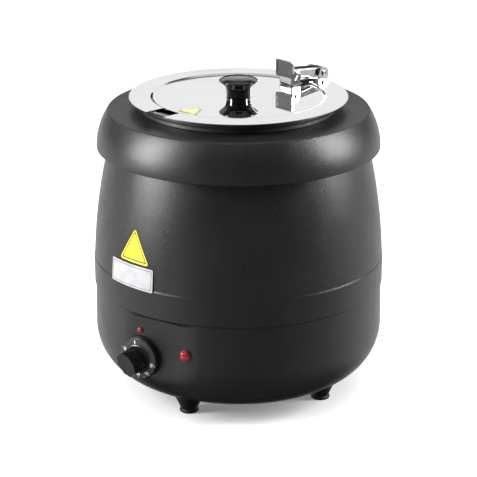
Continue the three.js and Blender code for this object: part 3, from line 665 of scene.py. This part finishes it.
def build_dial():
    skirt = turned("skirt", rounded([
        (0, 2.9, 0), (18, 2.9, 0.5), (18, 1.4, 0.5), (23.6, 1.4, 0.8), (24.6, 2.4, 0.8), (24.6, 6.8, 0.9),
        (FACE_OUTER, FACE_LOW, 0.7), (FACE_INNER, FACE_HIGH, 0.8), (15.2, 9.9, 0.8), (0, 9.9, 0)]))
    grip = grip_form()
    dial = combined(skirt, grip, "UNION")
    combined(dial, rod("bore", 3.3, 0, 20))
    softened(dial, 0.35, 3, 34)
    on_panel(dial, DIAL)
    finished(dial, DIAL_PLASTIC, "dial", "black_plastic", "dial_knob")
    # Film of lighter grey on the skirt's sloped face, under the print: painted sheen over the black plastic.
    inner, high = FACE_INNER + 0.9, FACE_HIGH - 0.9 * FACE_SLOPE
    outer, low = FACE_OUTER - 0.6, FACE_LOW + 0.6 * FACE_SLOPE
    film = 0.06
    band = [(inner, high), (outer, low), (outer, low + film), (inner, high + film)]
    face = turned("dial_face_sheen", band, closed=True)
    on_panel(face, DIAL)
    finished(face, DIAL_FACE_SHEEN, "dial", "black_plastic")
    build_dial_print()
    shaft = rod("shaft", 3.0, -15, 21)
    combined(shaft, prism("flat", rectangle(8, 4, 0.2, (0, 4.2)), 6, 30))
    softened(shaft, 0.25, 2)
    on_panel(shaft, DIAL).name = "dial_shaft"
    finished(shaft, PIN_STEEL, "dial", "satin_steel", "thermostat_shaft")


GRIP_TURN = math.radians(42)


def grip_form():
    """Long eight-sided grip, tapering towards its end face."""
    def ring(half_length, half_width, height):
        corner = (0.47, 1), (1, 0.43)
        corners = [(a * u, b * v) for a, b in ((1, 1), (1, -1), (-1, -1), (-1, 1))
                   for u, v in (corner if a * b > 0 else corner[::-1])]
        turn = Matrix.Rotation(GRIP_TURN, 2)
        return [(*(turn @ Vector((u * half_width, v * half_length))), height) for u, v in corners]

    vertices = ring(14.5, 9.5, 7.5) + ring(14.0, 9.0, DIAL_PROTRUSION - 0.3)
    sides = [(i, (i + 1) % 8, 8 + (i + 1) % 8, 8 + i) for i in range(8)]
    return mesh_object("grip", vertices, sides + [tuple(range(8)), tuple(range(8, 16))])


def build_dial_print():
    """Index mark, ticks and temperatures on the skirt, anticlockwise from the mark at the top."""
    lie = Matrix.Rotation(math.atan(FACE_SLOPE), 4, "X")
    marks = []
    mark_angle = math.radians(11)
    first, step = 65, 38.4
    for i, number in enumerate(("30", "40", "50", "60", "70", "80")):
        angle = math.radians(first + step * i)
        curve = bpy.data.curves.new("number", "FONT")
        curve.body = number
        curve.size = 4.9 * MM
        curve.align_x = "CENTER"
        curve.align_y = "CENTER"
        curve.extrude = 0.06 * MM
        text = bpy.data.objects.new("number", curve)
        bpy.context.scene.collection.objects.link(text)
        graph = bpy.context.evaluated_depsgraph_get()
        mesh = bpy.data.meshes.new_from_object(text.evaluated_get(graph))
        bpy.data.objects.remove(text)
        plate = bpy.data.objects.new("number", mesh)
        bpy.context.scene.collection.objects.link(plate)
        marks.append((plate, angle, 19.0))
        tick = prism("tick", rectangle(0.5, 1.4, 0.1), -0.06, 0.06)
        marks.append((tick, angle, 22.9))
    for i in range(5):
        tick = prism("tick", rectangle(0.35, 0.9, 0.1), -0.06, 0.06)
        marks.append((tick, math.radians(first + step * (i + 0.5)), 23.1))
    marks.append((prism("mark", rectangle(1.2, 3.6, 0.2), -0.06, 0.06), mark_angle, 19.6))
    for mark, angle, radius in marks:
        height = FACE_LOW + (FACE_OUTER - radius) * FACE_SLOPE + 0.13
        mark.data.transform(Matrix.Translation(Vector((0, radius, height)) * MM) @ lie.inverted())
        mark.data.transform(Matrix.Rotation(angle, 4, "Z"))
    scale = joined("dial_scale", *[mark for mark, _, _ in marks])
    on_panel(scale, DIAL)
    finished(scale, DIAL_PRINT, "dial", "black_plastic")


def build_lamps():
    lens = turned("pilot_lamp", rounded([
        (0, 0.3, 0), (6.4, 0.3, 0.2), (6.4, 2.6, 0.7), (5.4, 3.6, 0.8), (4.2, 5.0, 1.6), (1.8, 5.8, 1.5),
        (0, 5.9, 0)]), segments=64)
    on_panel(lens, PILOT_LAMP)
    finished(lens, RED_LENS, "housing", "red_lens", "pilot_lens")
    body = turned("pilot_holder", rounded([
        (0, -18, 0), (4.6, -18, 0.6), (4.6, -12, 0.3), (6.5, -12, 0.4), (6.5, -1.9, 0.3), (4.6, -1.9, 0.3),
        (4.6, 0, 0.3), (0, 0, 0)]), segments=48)
    on_panel(body, PILOT_LAMP)
    finished(body, CERAMIC, "housing", "white_ceramic", "pilot_body")
    small = turned("index_lamp", rounded([
        (0, -7, 0), (2, -7, 0.3), (2, 0.3, 0.1), (3.3, 0.3, 0.2), (3.3, 1.2, 0.5), (2.4, 2.5, 0.8),
        (0, 3.0, 0)]), segments=40)
    on_panel(small, INDEX_LAMP)
    finished(small, RED_LENS, "housing", "red_lens", "index_lens")


def wrapped(obj, bearing, surface_radius, offset):
    """obj, an upright plate in (x, z) whose depth is y (0 at its back), laid round the body."""
    for vertex in obj.data.vertices:
        x, depth, z = (value / MM for value in vertex.co)
        radius = surface_radius(z) + offset - depth
        angle = math.radians(bearing) + x / surface_radius(z)
        vertex.co = Vector((radius * math.sin(angle), -radius * math.cos(angle), z)) * MM
    return obj


def plate_grid(name, outline, thickness, cell=2.0):
    """Upright plate in (x, z), divided both ways so that it can be bent."""
    plate = prism(name, outline, -thickness, 0, "Y")
    sheet = bmesh.new()
    sheet.from_mesh(plate.data)
    for values, normal in zip(zip(*outline), (Vector((1, 0, 0)), Vector((0, 0, 1)))):
        cut = cell * math.ceil(min(values) / cell)
        while cut < max(values):
            everything = sheet.verts[:] + sheet.edges[:] + sheet.faces[:]
            bmesh.ops.bisect_plane(sheet, geom=everything, plane_co=normal * cut * MM, plane_no=normal)
            cut += cell
    sheet.to_mesh(plate.data)
    sheet.free()
    return plate


def triangle(base, height, fillet, low):
    corners = [(-base / 2, low, fillet), (base / 2, low, fillet), (0, low + height, fillet)]
    return rounded(corners, closed=True)


def frame_outline(name, outline, inner, thickness):
    """Plate with its middle cut out: a printed border."""
    plate = plate_grid(name, outline, thickness)
    return combined(plate, prism("inner", inner, -5, 5, "Y"))


def build_badge():
    def radius(z):
        return 170.1 - (z - 161) * 1.8 / 27

    plate = plate_grid("badge", rectangle(67.5, 26.6, 1.6, (0, 174.5)), 0.7)
    softened(plate, 0.15, 2, 50)
    finished(wrapped(plate, -13, radius, 0), SILVER_FILM, "housing", "silver_film", "badge_plate")
    border = frame_outline("badge_border", rectangle(63.4, 22.6, 1.0, (0, 174.5)),
                           rectangle(62.4, 21.6, 0.8, (0, 174.5)), 0.06)
    finished(wrapped(border, -13, radius, 0.71), LABEL_INK, "housing", "silver_film")


def build_caution_label():
    label = plate_grid("caution_film", triangle(46, 38.5, 2.2, 190.6), 0.35)
    finished(wrapped(label, -11.7, wall_radius, 0.3), YELLOW_FILM, "housing", "yellow_film", "caution_label")
    border = frame_outline("caution_border", triangle(40.2, 33.8, 1.2, 192.7),
                           triangle(35.6, 29.9, 0.8, 194.2), 0.06)
    finished(wrapped(border, -11.7, wall_radius, 0.70), LABEL_INK, "housing", "yellow_film")


# ---- rear inlet

def build_gland():
    head = prism("head", arc((0, 0), 12.4, 0, 360, 8)[:-1], 174, 186, "Y")
    cap = turned("cap", rounded([
        (0, 184, 0), (11.6, 184, 0.3), (11.6, 188, 1.5), (8.6, 195.2, 1.8), (0, 195.4, 0)]), segments=64)
    collar = turned("collar", rounded([
        (0, 146, 0), (9, 146, 0.5), (9, 169.2, 0.3), (14, 169.2, 0.6), (14, 174.2, 0.8),
        (0, 174.2, 0)]), segments=64)
    lay = Matrix.Rotation(math.radians(-90), 4, "X")
    for turned_piece in (cap, collar):
        turned_piece.data.transform(lay)
    gland = combined(combined(head, cap, "UNION"), collar, "UNION")
    combined(gland, rod("bore", 4.0, 100, 220, "Y"))
    softened(gland, 0.3, 2, 34)
    shifted(gland, z=GLAND_HEIGHT).name = "cord_gland"
    finished(gland, GLAND_PLASTIC, "housing", "black_plastic", "cable_gland")
    nut = prism("gland_ring", arc((0, 0), 12.5, 0, 360, 6)[:-1], 148.5, 153.5, "Y")
    combined(nut, rod("bore", 9.4, 100, 220, "Y"))
    softened(nut, 0.5, 2, 34)
    shifted(nut, z=GLAND_HEIGHT)
    finished(nut, GLAND_PLASTIC, "housing", "black_plastic", "gland_nut")


# ---- pot

def build_pot():
    centre = (POT_OUTER - POT_CORNER, POT_FLOOR + POT_CORNER)
    under = FLANGE_TOP - FLANGE_THICKNESS
    wall = POT_OUTER - POT_WALL
    rim = rounded([
        (POT_OUTER, centre[1], 0), (POT_OUTER, under, POT_RIM_BEND), (FLANGE_RADIUS - 1.6, under, 0.3),
        (FLANGE_RADIUS, under + 0.1, 0.7), (FLANGE_RADIUS, FLANGE_TOP, 0.75), (115.4, FLANGE_TOP, 3.0),
        (111.4, FLANGE_TOP - 0.7, 3.0), (wall, FLANGE_TOP - 2.0, 4.0), (wall, centre[1], 0)], steps=10)
    profile = [(0, POT_FLOOR), (60, POT_FLOOR)]
    profile += arc(centre, POT_CORNER, -90, 0, 12)[:-1] + divided(rim, 30)[:-1]
    profile += arc(centre, POT_CORNER - POT_WALL, 0, -90, 12)
    profile += [(60, POT_FLOOR + POT_WALL), (0, POT_FLOOR + POT_WALL)]
    pot = turned("inset_pot", profile, segments=192)
    finished(pot, TURNED_STEEL, "pot", "satin_steel", "soup_pot")


def build_rim_clip():
    jaw = prism("jaw", rounded([
        (111.5, -1, 0.3), (118.3, -1, 0.1), (118.3, -4.8, 0.1), (114.2, -4.8, 0.3), (114.2, -6.1, 0.3),
        (119.6, -6.1, 1.2), (119.6, 0.3, 1.2), (111.5, 0.3, 0.5)], closed=True),
        -EAR_HALF_WIDTH, EAR_HALF_WIDTH, "X")
    for side in (-1, 1):
        outline = rounded([
            (118.3, -6.1, 0.2), (127, -6.1, 3), (135, 1.5, 5), (135, 9, 6), (129, 13.8, 6), (122, 12.6, 5),
            (118.3, 4, 2)], closed=True)
        low, high = sorted((side * EAR_HALF_WIDTH, side * (EAR_HALF_WIDTH - SHEET)))
        combined(jaw, prism("ear", outline, low, high, "X"), "UNION")
    combined(jaw, rod("bore", PIN_RADIUS + 0.3, -30, 30, "X", OUTER_PIN))
    softened(jaw, 0.3, 3, 34)
    in_lid_frame(jaw).name = "hinge_clip"
    finished(jaw, HINGE_STEEL, "pot", "polished_steel", "rim_clip")


def build_pins():
    for name, place, body, node in (("clip_pin", OUTER_PIN, "pot", "outer_pin"),
                                    ("lid_pin", INNER_PIN, "lid", "inner_pin")):
        half = EAR_HALF_WIDTH + 0.3
        side = [(half + 1.2, 0, 0), (half + 1.4, 1.2, 0.3), (half + 0.5, 1.5, 0.1), (half + 0.5, 2.1, 0.1),
                (half + 1.4, 2.3, 0.2), (half + 1.2, 2.9, 0.4), (half + 0.6, 3.2, 0.3), (half, 3.2, 0.2),
                (half, PIN_RADIUS, 0.2)]
        right = [(r, x, f) for x, r, f in side]
        left = [(r, -x, f) for r, x, f in reversed(right)]
        pin = turned(name, rounded(right + left), segments=40)
        pin.data.transform(Matrix.Rotation(math.radians(90), 4, "Y"))
        shifted(pin, y=place[0], z=place[1])
        smooth(pin)
        finished(in_lid_frame(pin), PIN_STEEL, body, "satin_steel", node)


# ---- hinge arm

def channel(name, half_width, wall, top, bottom, start, end, lean=2.6):
    """Inverted U of sheet along y, with rounded bends and sides that lean in."""
    outer, inner = 1.6, 0.6
    upper = half_width - lean
    section = rounded([
        (-half_width, bottom, 0.1), (-upper, top, outer), (upper, top, outer), (half_width, bottom, 0.1),
        (half_width - wall, bottom, 0.1), (upper - wall, top - wall, inner),
        (-upper + wall, top - wall, inner), (-half_width + wall, bottom, 0.1)], closed=True)
    return prism(name, section, start, end, "Y")


def fallen(obj):
    """obj turned to fall from the inner pin towards the outer one."""
    fall = math.atan2(CHANNEL_TOP - 12.6, 46)
    lean = Matrix.Translation(Vector((0, 80, CHANNEL_TOP)) * MM) @ Matrix.Rotation(-fall, 4, "X")
    obj.data.transform(lean @ Matrix.Translation(Vector((0, -80, -CHANNEL_TOP)) * MM))
    return obj


def build_arm():
    """Channel that falls towards the outer pin, with the stop plate at its inner end."""
    web = fallen(channel("arm", ARM_HALF_WIDTH, SHEET, CHANNEL_TOP, -8, 74, 140))
    outline = rounded([
        (75.2, 14.5, 0.3), (79.5, 14.5, 1.0), (79.5, 9.0, 2.0), (84, 8.0, 3.0), (104, 4.3, 12), (123, 2.2, 3),
        (129.5, 2.0, 3.5), (132.2, 6, 4), (130.6, 18, 1), (75.2, 18.5, 0.3)], closed=True)
    combined(web, prism("limit", outline, -15, 15, "X"), "INTERSECT")
    stop = prism("stop", rectangle(28, 19.4, 1.2, (0, STOP_HEIGHT)), 72.1, 75.6, "Y")
    combined(stop, prism("panel", rectangle(22.6, 14.0, 0.8, (0, STOP_HEIGHT)), 70, 72.6, "Y"))
    combined(web, stop, "UNION")
    for place in (INNER_PIN, OUTER_PIN):
        combined(web, rod("bore", PIN_RADIUS + 0.3, -30, 30, "X", place))
    softened(web, 0.35, 3, 34)
    in_lid_frame(web).name = "hinge_link"
    finished(web, HINGE_STEEL, "arm", "polished_steel", "hinge_arm")
    beads = [build_bead(side) for side in (-1, 1)]
    finished(joined("hinge_bead", *beads), HINGE_STEEL, "arm", "polished_steel")


def build_bead(side):
    """Rolled edge along the lower side of the channel, between the two pairs of ears."""
    radius, length, drop = 1.3, 26.0, 3.7
    ends = [(radius * math.cos(a), length / 2 + radius * math.sin(a)) for a in (0, 0.5, 1.0, 1.3)]
    half = [(r, y) for r, y in ends] + [(0, length / 2 + radius)]
    bead = turned("bead", [(r, -y) for r, y in reversed(half)] + half, segments=24)
    bead.data.transform(Matrix.Rotation(math.radians(-90) - math.atan2(drop, length), 4, "X"))
    return in_lid_frame(shifted(bead, side * (ARM_HALF_WIDTH - 0.2), 104, 5.6))


# ---- lid

def rivet_holes():
    return [rod("hole", 1.8, -20, 20, centre=(x, INNER_PIN[0])) for x in (-RIVET_OFFSET, RIVET_OFFSET)]


def build_lid():
    low, step = -RECESS, 1.2
    under = -LID_THICKNESS
    profile = rounded([
        (0, low, 0), (RECESS_RADIUS - step, low, 2.0), (RECESS_RADIUS + step, 0, 2.0), (LID_RADIUS, 0, 0.45),
        (LID_RADIUS, under, 0.45), (RECESS_RADIUS + step + 0.4, under, 2.0),
        (RECESS_RADIUS - step + 0.4, low + under, 2.0), (0, low + under, 0)], steps=6)
    lid = turned("lid_disc", profile, segments=256)
    length = 60
    notch = rectangle(NOTCH_WIDTH, length, NOTCH_CORNER, (0, -NOTCH_START - length / 2), 10)
    rear = rectangle(REAR_CUT_WIDTH, length, 1.5, (0, REAR_CUT_START + length / 2))
    cuts = [
        prism("notch", notch, -20, 20),
        prism("rear", rear, -20, 20),
        rod("hole", 3.0, -20, 20),
        *rivet_holes(),
    ]
    for cut in cuts:
        combined(lid, cut)
    smooth(lid, 25)
    face_weighted(lid)
    finished(in_lid_frame(lid), MIRROR_STEEL, "lid", "polished_steel", "lid_plate")


def build_bracket():
    floor = -RECESS + 0.3
    section = rounded([
        (-EAR_HALF_WIDTH, 17, 0.1), (-EAR_HALF_WIDTH, floor, 2.0), (EAR_HALF_WIDTH, floor, 2.0),
        (EAR_HALF_WIDTH, 17, 0.1), (EAR_HALF_WIDTH - SHEET, 17, 0.1),
        (EAR_HALF_WIDTH - SHEET, floor + SHEET, 0.8), (-EAR_HALF_WIDTH + SHEET, floor + SHEET, 0.8),
        (-EAR_HALF_WIDTH + SHEET, 17, 0.1)], closed=True)
    bracket = prism("lid_ears", section, 76, 88, "Y")
    outline = rounded([
        (76, floor - 0.1, 0.1), (88, floor - 0.1, 0.1), (88, 12, 5.5), (86, 17, 5.5), (78, 17, 5.5),
        (76, 12, 5)], closed=True)
    combined(bracket, prism("limit", outline, -15, 15, "X"), "INTERSECT")
    web = prism("ear_web", rectangle(2 * ARM_HALF_WIDTH + 0.2, 7.4, 0.6, (0, 4.4)), 74.8, 76, "Y")
    softened(web, 0.3, 3, 34)
    finished(in_lid_frame(web), SATIN_SHEET, "lid", "polished_steel")
    combined(bracket, rod("bore", PIN_RADIUS + 0.3, -30, 30, "X", INNER_PIN))
    for hole in rivet_holes():
        combined(bracket, hole)
    softened(bracket, 0.3, 3, 34)
    finished(in_lid_frame(bracket), HINGE_STEEL, "lid", "polished_steel", "lid_bracket")


def build_rivets():
    under = -RECESS - LID_THICKNESS - 0.3
    above = -RECESS + 0.6 + SHEET
    for side, x in (("left", -RIVET_OFFSET), ("right", RIVET_OFFSET)):
        rivet = turned(f"ear_rivet_{side}", rounded([
            (0, under - 1, 0), (2.6, under - 1, 0.5), (2.6, under, 0.2), (1.5, under, 0.2), (1.5, above, 0.2),
            (2.8, above, 0.2), (2.3, above + 1.1, 1.0), (0, above + 1.5, 0)]), segments=32)
        shifted(rivet, x, INNER_PIN[0])
        finished(in_lid_frame(rivet), PIN_STEEL, "lid", "satin_steel", f"bracket_rivet_{side}")


def build_knob():
    base = -RECESS + 0.3
    corners = [
        (2.6, 12, 0), (2.6, base, 0.3), (13.9, base, 0.3), (13.8, 2.0, 2.0), (14.3, 6.6, 8.0),
        (15.3, 9.6, 6.0), (16.8, 11.8, 6.0), (19.5, 14.0, 6.0), (22.4, 16.4, 0.7), (22.5, 17.3, 0.6),
        (20.5, 18.8, 5.0), (17, 20.3, 8.0), (11, 21.4, 14.0), (0, 21.8, 0)]
    profile = [(0, 12)] + rounded(corners, steps=8)
    knob = turned("knob", profile, segments=128)
    finished(in_lid_frame(knob), KNOB_PLASTIC, "lid", "black_plastic", "lid_knob")
    top = -RECESS - LID_THICKNESS - 0.3
    section = rounded([
        (2.6, top, 0.2), (8, top, 0.3), (8, top - 1.2, 0.3), (2.6, top - 1.2, 0.2)], closed=True)
    washer = turned("knob_ring", section, closed=True, segments=64)
    finished(in_lid_frame(washer), PIN_STEEL, "lid", "satin_steel", "knob_washer")
    seat = top - 1.5
    screw = turned("knob_fixing", rounded([
        (0, seat - 2.4, 0), (3, seat - 2.4, 1), (4.6, seat - 1.2, 0.6), (4.6, seat, 0.2), (2.3, seat, 0.2),
        (2.3, 11, 0.5), (0, 11, 0)]), segments=40)
    combined(screw, cross_recess(5.0, 1.4, seat - 2.4))
    smooth(screw)
    finished(in_lid_frame(screw), PIN_STEEL, "lid", "satin_steel", "knob_screw")


def build_lid_label():
    def laid(name, base, height, low, floor, thickness):
        film = prism(name, triangle(base, height, base * 0.05, low), floor, floor + thickness)
        turn = Matrix.Rotation(math.radians(5), 4, "Z")
        shifted(film, *polar(79, 8.4), turn=turn)
        return film

    floor = -RECESS + 0.3
    label = in_lid_frame(laid("lid_film", 31, 27, -13, floor, 0.25))
    finished(label, GLOSSY_YELLOW, "lid", "yellow_film", "lid_label")
    border = laid("lid_film_border", 27, 23.4, -11.6, floor + 0.25, 0.05)
    combined(border, laid("inner", 25, 21.6, -10.9, floor, 1))
    finished(in_lid_frame(border), LABEL_INK, "lid", "yellow_film")


# ---- pieces inside the body

INSIDE = {
    GLASS_WOOL: ("insulation_jacket",),
    TURNED_STEEL: ("heater_element",),
    ZINC: ("heater_clamp", "clamp_stud", "thermostat_screw_left", "thermostat_screw_right"),
    CERAMIC: ("thermostat_body", "thermal_cutout", "terminal_block"),
    BRASS: ("sensor_bulb", "capillary_tube", "earth_stud"),
    **{material: (node,) for node, material in SLEEVES.items()},
}


def paint_inside():
    for material, nodes in INSIDE.items():
        for node in nodes:
            obj = frame["nodes"][node]
            obj.data.materials.clear()
            obj.data.materials.append(material)
            smooth(obj)


# ---- scene

CAMERA_BEARING = 32.5
CAMERA_DISTANCE, CAMERA_HEIGHT, CAMERA_PITCH = 2.016, 0.888, 19.45
CAMERA_LENS = 136.85


def build_camera():
    camera = bpy.data.objects.new("camera", bpy.data.cameras.new("camera"))
    camera.data.lens = CAMERA_LENS
    camera.data.sensor_width = 36
    x, y = polar(CAMERA_DISTANCE, CAMERA_BEARING)
    camera.location = (x, y, CAMERA_HEIGHT)
    heading = math.radians(CAMERA_BEARING)
    camera.rotation_euler = (math.radians(90 - CAMERA_PITCH), 0, heading)
    bpy.context.scene.collection.objects.link(camera)
    bpy.context.scene.camera = camera


def build_floor():
    size = 6000
    floor = mesh_object("floor", [(-size, -size, 0), (size, -size, 0), (size, size, 0), (-size, size, 0)],
                        [(0, 1, 2, 3)])
    glow = {"Emission Color": (1, 1, 1, 1), "Emission Strength": 0.2}
    paint = surface("floor_paint", 0.88, 0.90, (0.8, 0.9), 0.4, sockets=glow)
    floor.data.materials.append(paint)
    floor.visible_glossy = False


# Brightness of the studio by the cosine of the angle from a level direction, or from straight up.
ROOM = ((-1.0, 1.0), (-0.60, 1.0), (-0.30, 0.40), (0.0, 0.24), (0.5, 0.05), (1.0, 0.03))
FLOOR = ((-1.0, 0.9), (0.0, 0.9), (0.27, 0.75), (0.50, 0.32), (0.75, 0.15), (1.0, 0.08))
ABOVE_HORIZON = (
    (-1.0, 0.0), (0.0, 0.03), (0.225, 0.03), (0.243, 1.0), (0.52, 1.0), (0.66, 0.15), (1.0, 0.15))
BELOW_HORIZON = ((-1.0, 0.0), (-0.75, 0.0), (-0.45, 1.0), (-0.03, 1.0), (0.0, 0.0), (1.0, 0.0))
CEILING = ((-1.0, 0.0), (0.76, 0.0), (0.92, 0.70), (1.0, 0.70))
FLOOR_TURN = 18  # the floor in front is darkest a little to the right of the camera


def build_world():
    """White backdrop behind the kettle with a dark foot, bright floor to the sides, a dim ceiling,
    and a dark studio on the camera's side."""
    world = bpy.data.worlds.new("studio")
    world.use_nodes = True
    bpy.context.scene.world = world
    tree = world.node_tree
    direction = tree.nodes.new("ShaderNodeTexCoord").outputs["Generated"]
    height = added(tree, "SeparateXYZ", {}, direction).outputs["Z"]
    room = math_node(tree, "MULTIPLY", level_ramp(tree, direction, CAMERA_BEARING, ROOM),
                     brightness_ramp(tree, height, ABOVE_HORIZON))
    floor = math_node(tree, "MULTIPLY", level_ramp(tree, direction, CAMERA_BEARING + FLOOR_TURN, FLOOR),
                      brightness_ramp(tree, height, BELOW_HORIZON))
    ceiling = brightness_ramp(tree, height, CEILING)
    seen = tree.nodes.new("ShaderNodeLightPath").outputs["Is Camera Ray"]
    studio = math_node(tree, "MAXIMUM", math_node(tree, "MAXIMUM", room, floor), ceiling)
    strength = math_node(tree, "MAXIMUM", studio, seen)
    tree.links.new(strength, tree.nodes["Background"].inputs["Strength"])
    tree.nodes["Background"].inputs["Color"].default_value = (1, 1, 1, 1)


def math_node(tree, operation, first, second):
    node = tree.nodes.new("ShaderNodeMath")
    node.operation = operation
    tree.links.new(first, node.inputs[0])
    tree.links.new(second, node.inputs[1])
    return node.outputs["Value"]


def level_ramp(tree, direction, bearing, stops):
    """Brightness by the cosine of the angle from a level direction."""
    ahead = tree.nodes.new("ShaderNodeVectorMath")
    ahead.operation = "DOT_PRODUCT"
    ahead.inputs[1].default_value = (*polar(1, bearing), 0)
    tree.links.new(direction, ahead.inputs[0])
    return brightness_ramp(tree, ahead.outputs["Value"], stops)


def brightness_ramp(tree, cosine, stops):
    widen = added(tree, "MapRange", {"From Min": -1})
    tree.links.new(cosine, widen.inputs["Value"])
    ramp = tree.nodes.new("ShaderNodeValToRGB")
    ramp.color_ramp.interpolation = "EASE"
    elements = ramp.color_ramp.elements
    while len(elements) < len(stops):
        elements.new(0.5)
    for element, (place, value) in zip(elements, stops):
        element.position = (place + 1) / 2
        element.color = (value, value, value, 1)
    tree.links.new(widen.outputs["Result"], ramp.inputs["Fac"])
    return ramp.outputs["Color"]


def softbox(name, bearing, distance, height, size, power):
    """Level area light that faces the kettle's axis."""
    light = bpy.data.lights.new(name, "AREA")
    light.shape = "RECTANGLE"
    light.size, light.size_y = size
    light.energy = power
    obj = bpy.data.objects.new(name, light)
    obj.location = (*polar(distance, bearing), height)
    aim = Vector((0, 0, height)) - obj.location
    obj.rotation_euler = aim.to_track_quat("-Z", "Y").to_euler()
    bpy.context.scene.collection.objects.link(obj)
    return obj


def build_sun(strength, lean, spread):
    """Very soft light from above, leaning towards the camera's side, for the floor."""
    light = bpy.data.lights.new("soft_sun", "SUN")
    light.energy = strength
    light.angle = math.radians(spread)
    obj = bpy.data.objects.new("soft_sun", light)
    obj.rotation_euler = (math.radians(lean), 0, math.radians(CAMERA_BEARING))
    obj.visible_glossy = False
    bpy.context.scene.collection.objects.link(obj)


def keep_off(lamp, names):
    """Let a lamp light everything but the named pieces."""
    lit = bpy.data.collections.new(f"lit_by_{lamp.name}")
    for obj in bpy.context.scene.objects:
        if obj.type == "MESH" and obj.name not in names:
            lit.objects.link(obj)
    lamp.light_linking.receiver_collection = lit


def build_lights():
    """Two upright softboxes at the sides, kept off the lid's disc, and a soft light from above."""
    left = softbox("left_box", CAMERA_BEARING - 74, 1.5, 0.90, (0.35, 1.20), 46)
    right = softbox("right_box", CAMERA_BEARING + 85, 1.5, 0.95, (0.35, 1.10), 37)
    for lamp in (left, right):
        keep_off(lamp, ("lid_disc", "inset_pot"))
    build_sun(2.1, 8, 75)
    bpy.context.scene.view_settings.view_transform = "Standard"


STEPS = (
    build_camera, build_floor, build_world, build_body, build_collar, build_neck_ring, build_well,
    build_base, build_feet, build_base_screws, build_dial, build_lamps, build_badge, build_caution_label,
    build_gland, build_pot, build_rim_clip, build_pins, build_arm, build_lid, build_bracket, build_rivets,
    build_knob, build_lid_label, paint_inside, build_lights)
for step in STEPS:
    step()
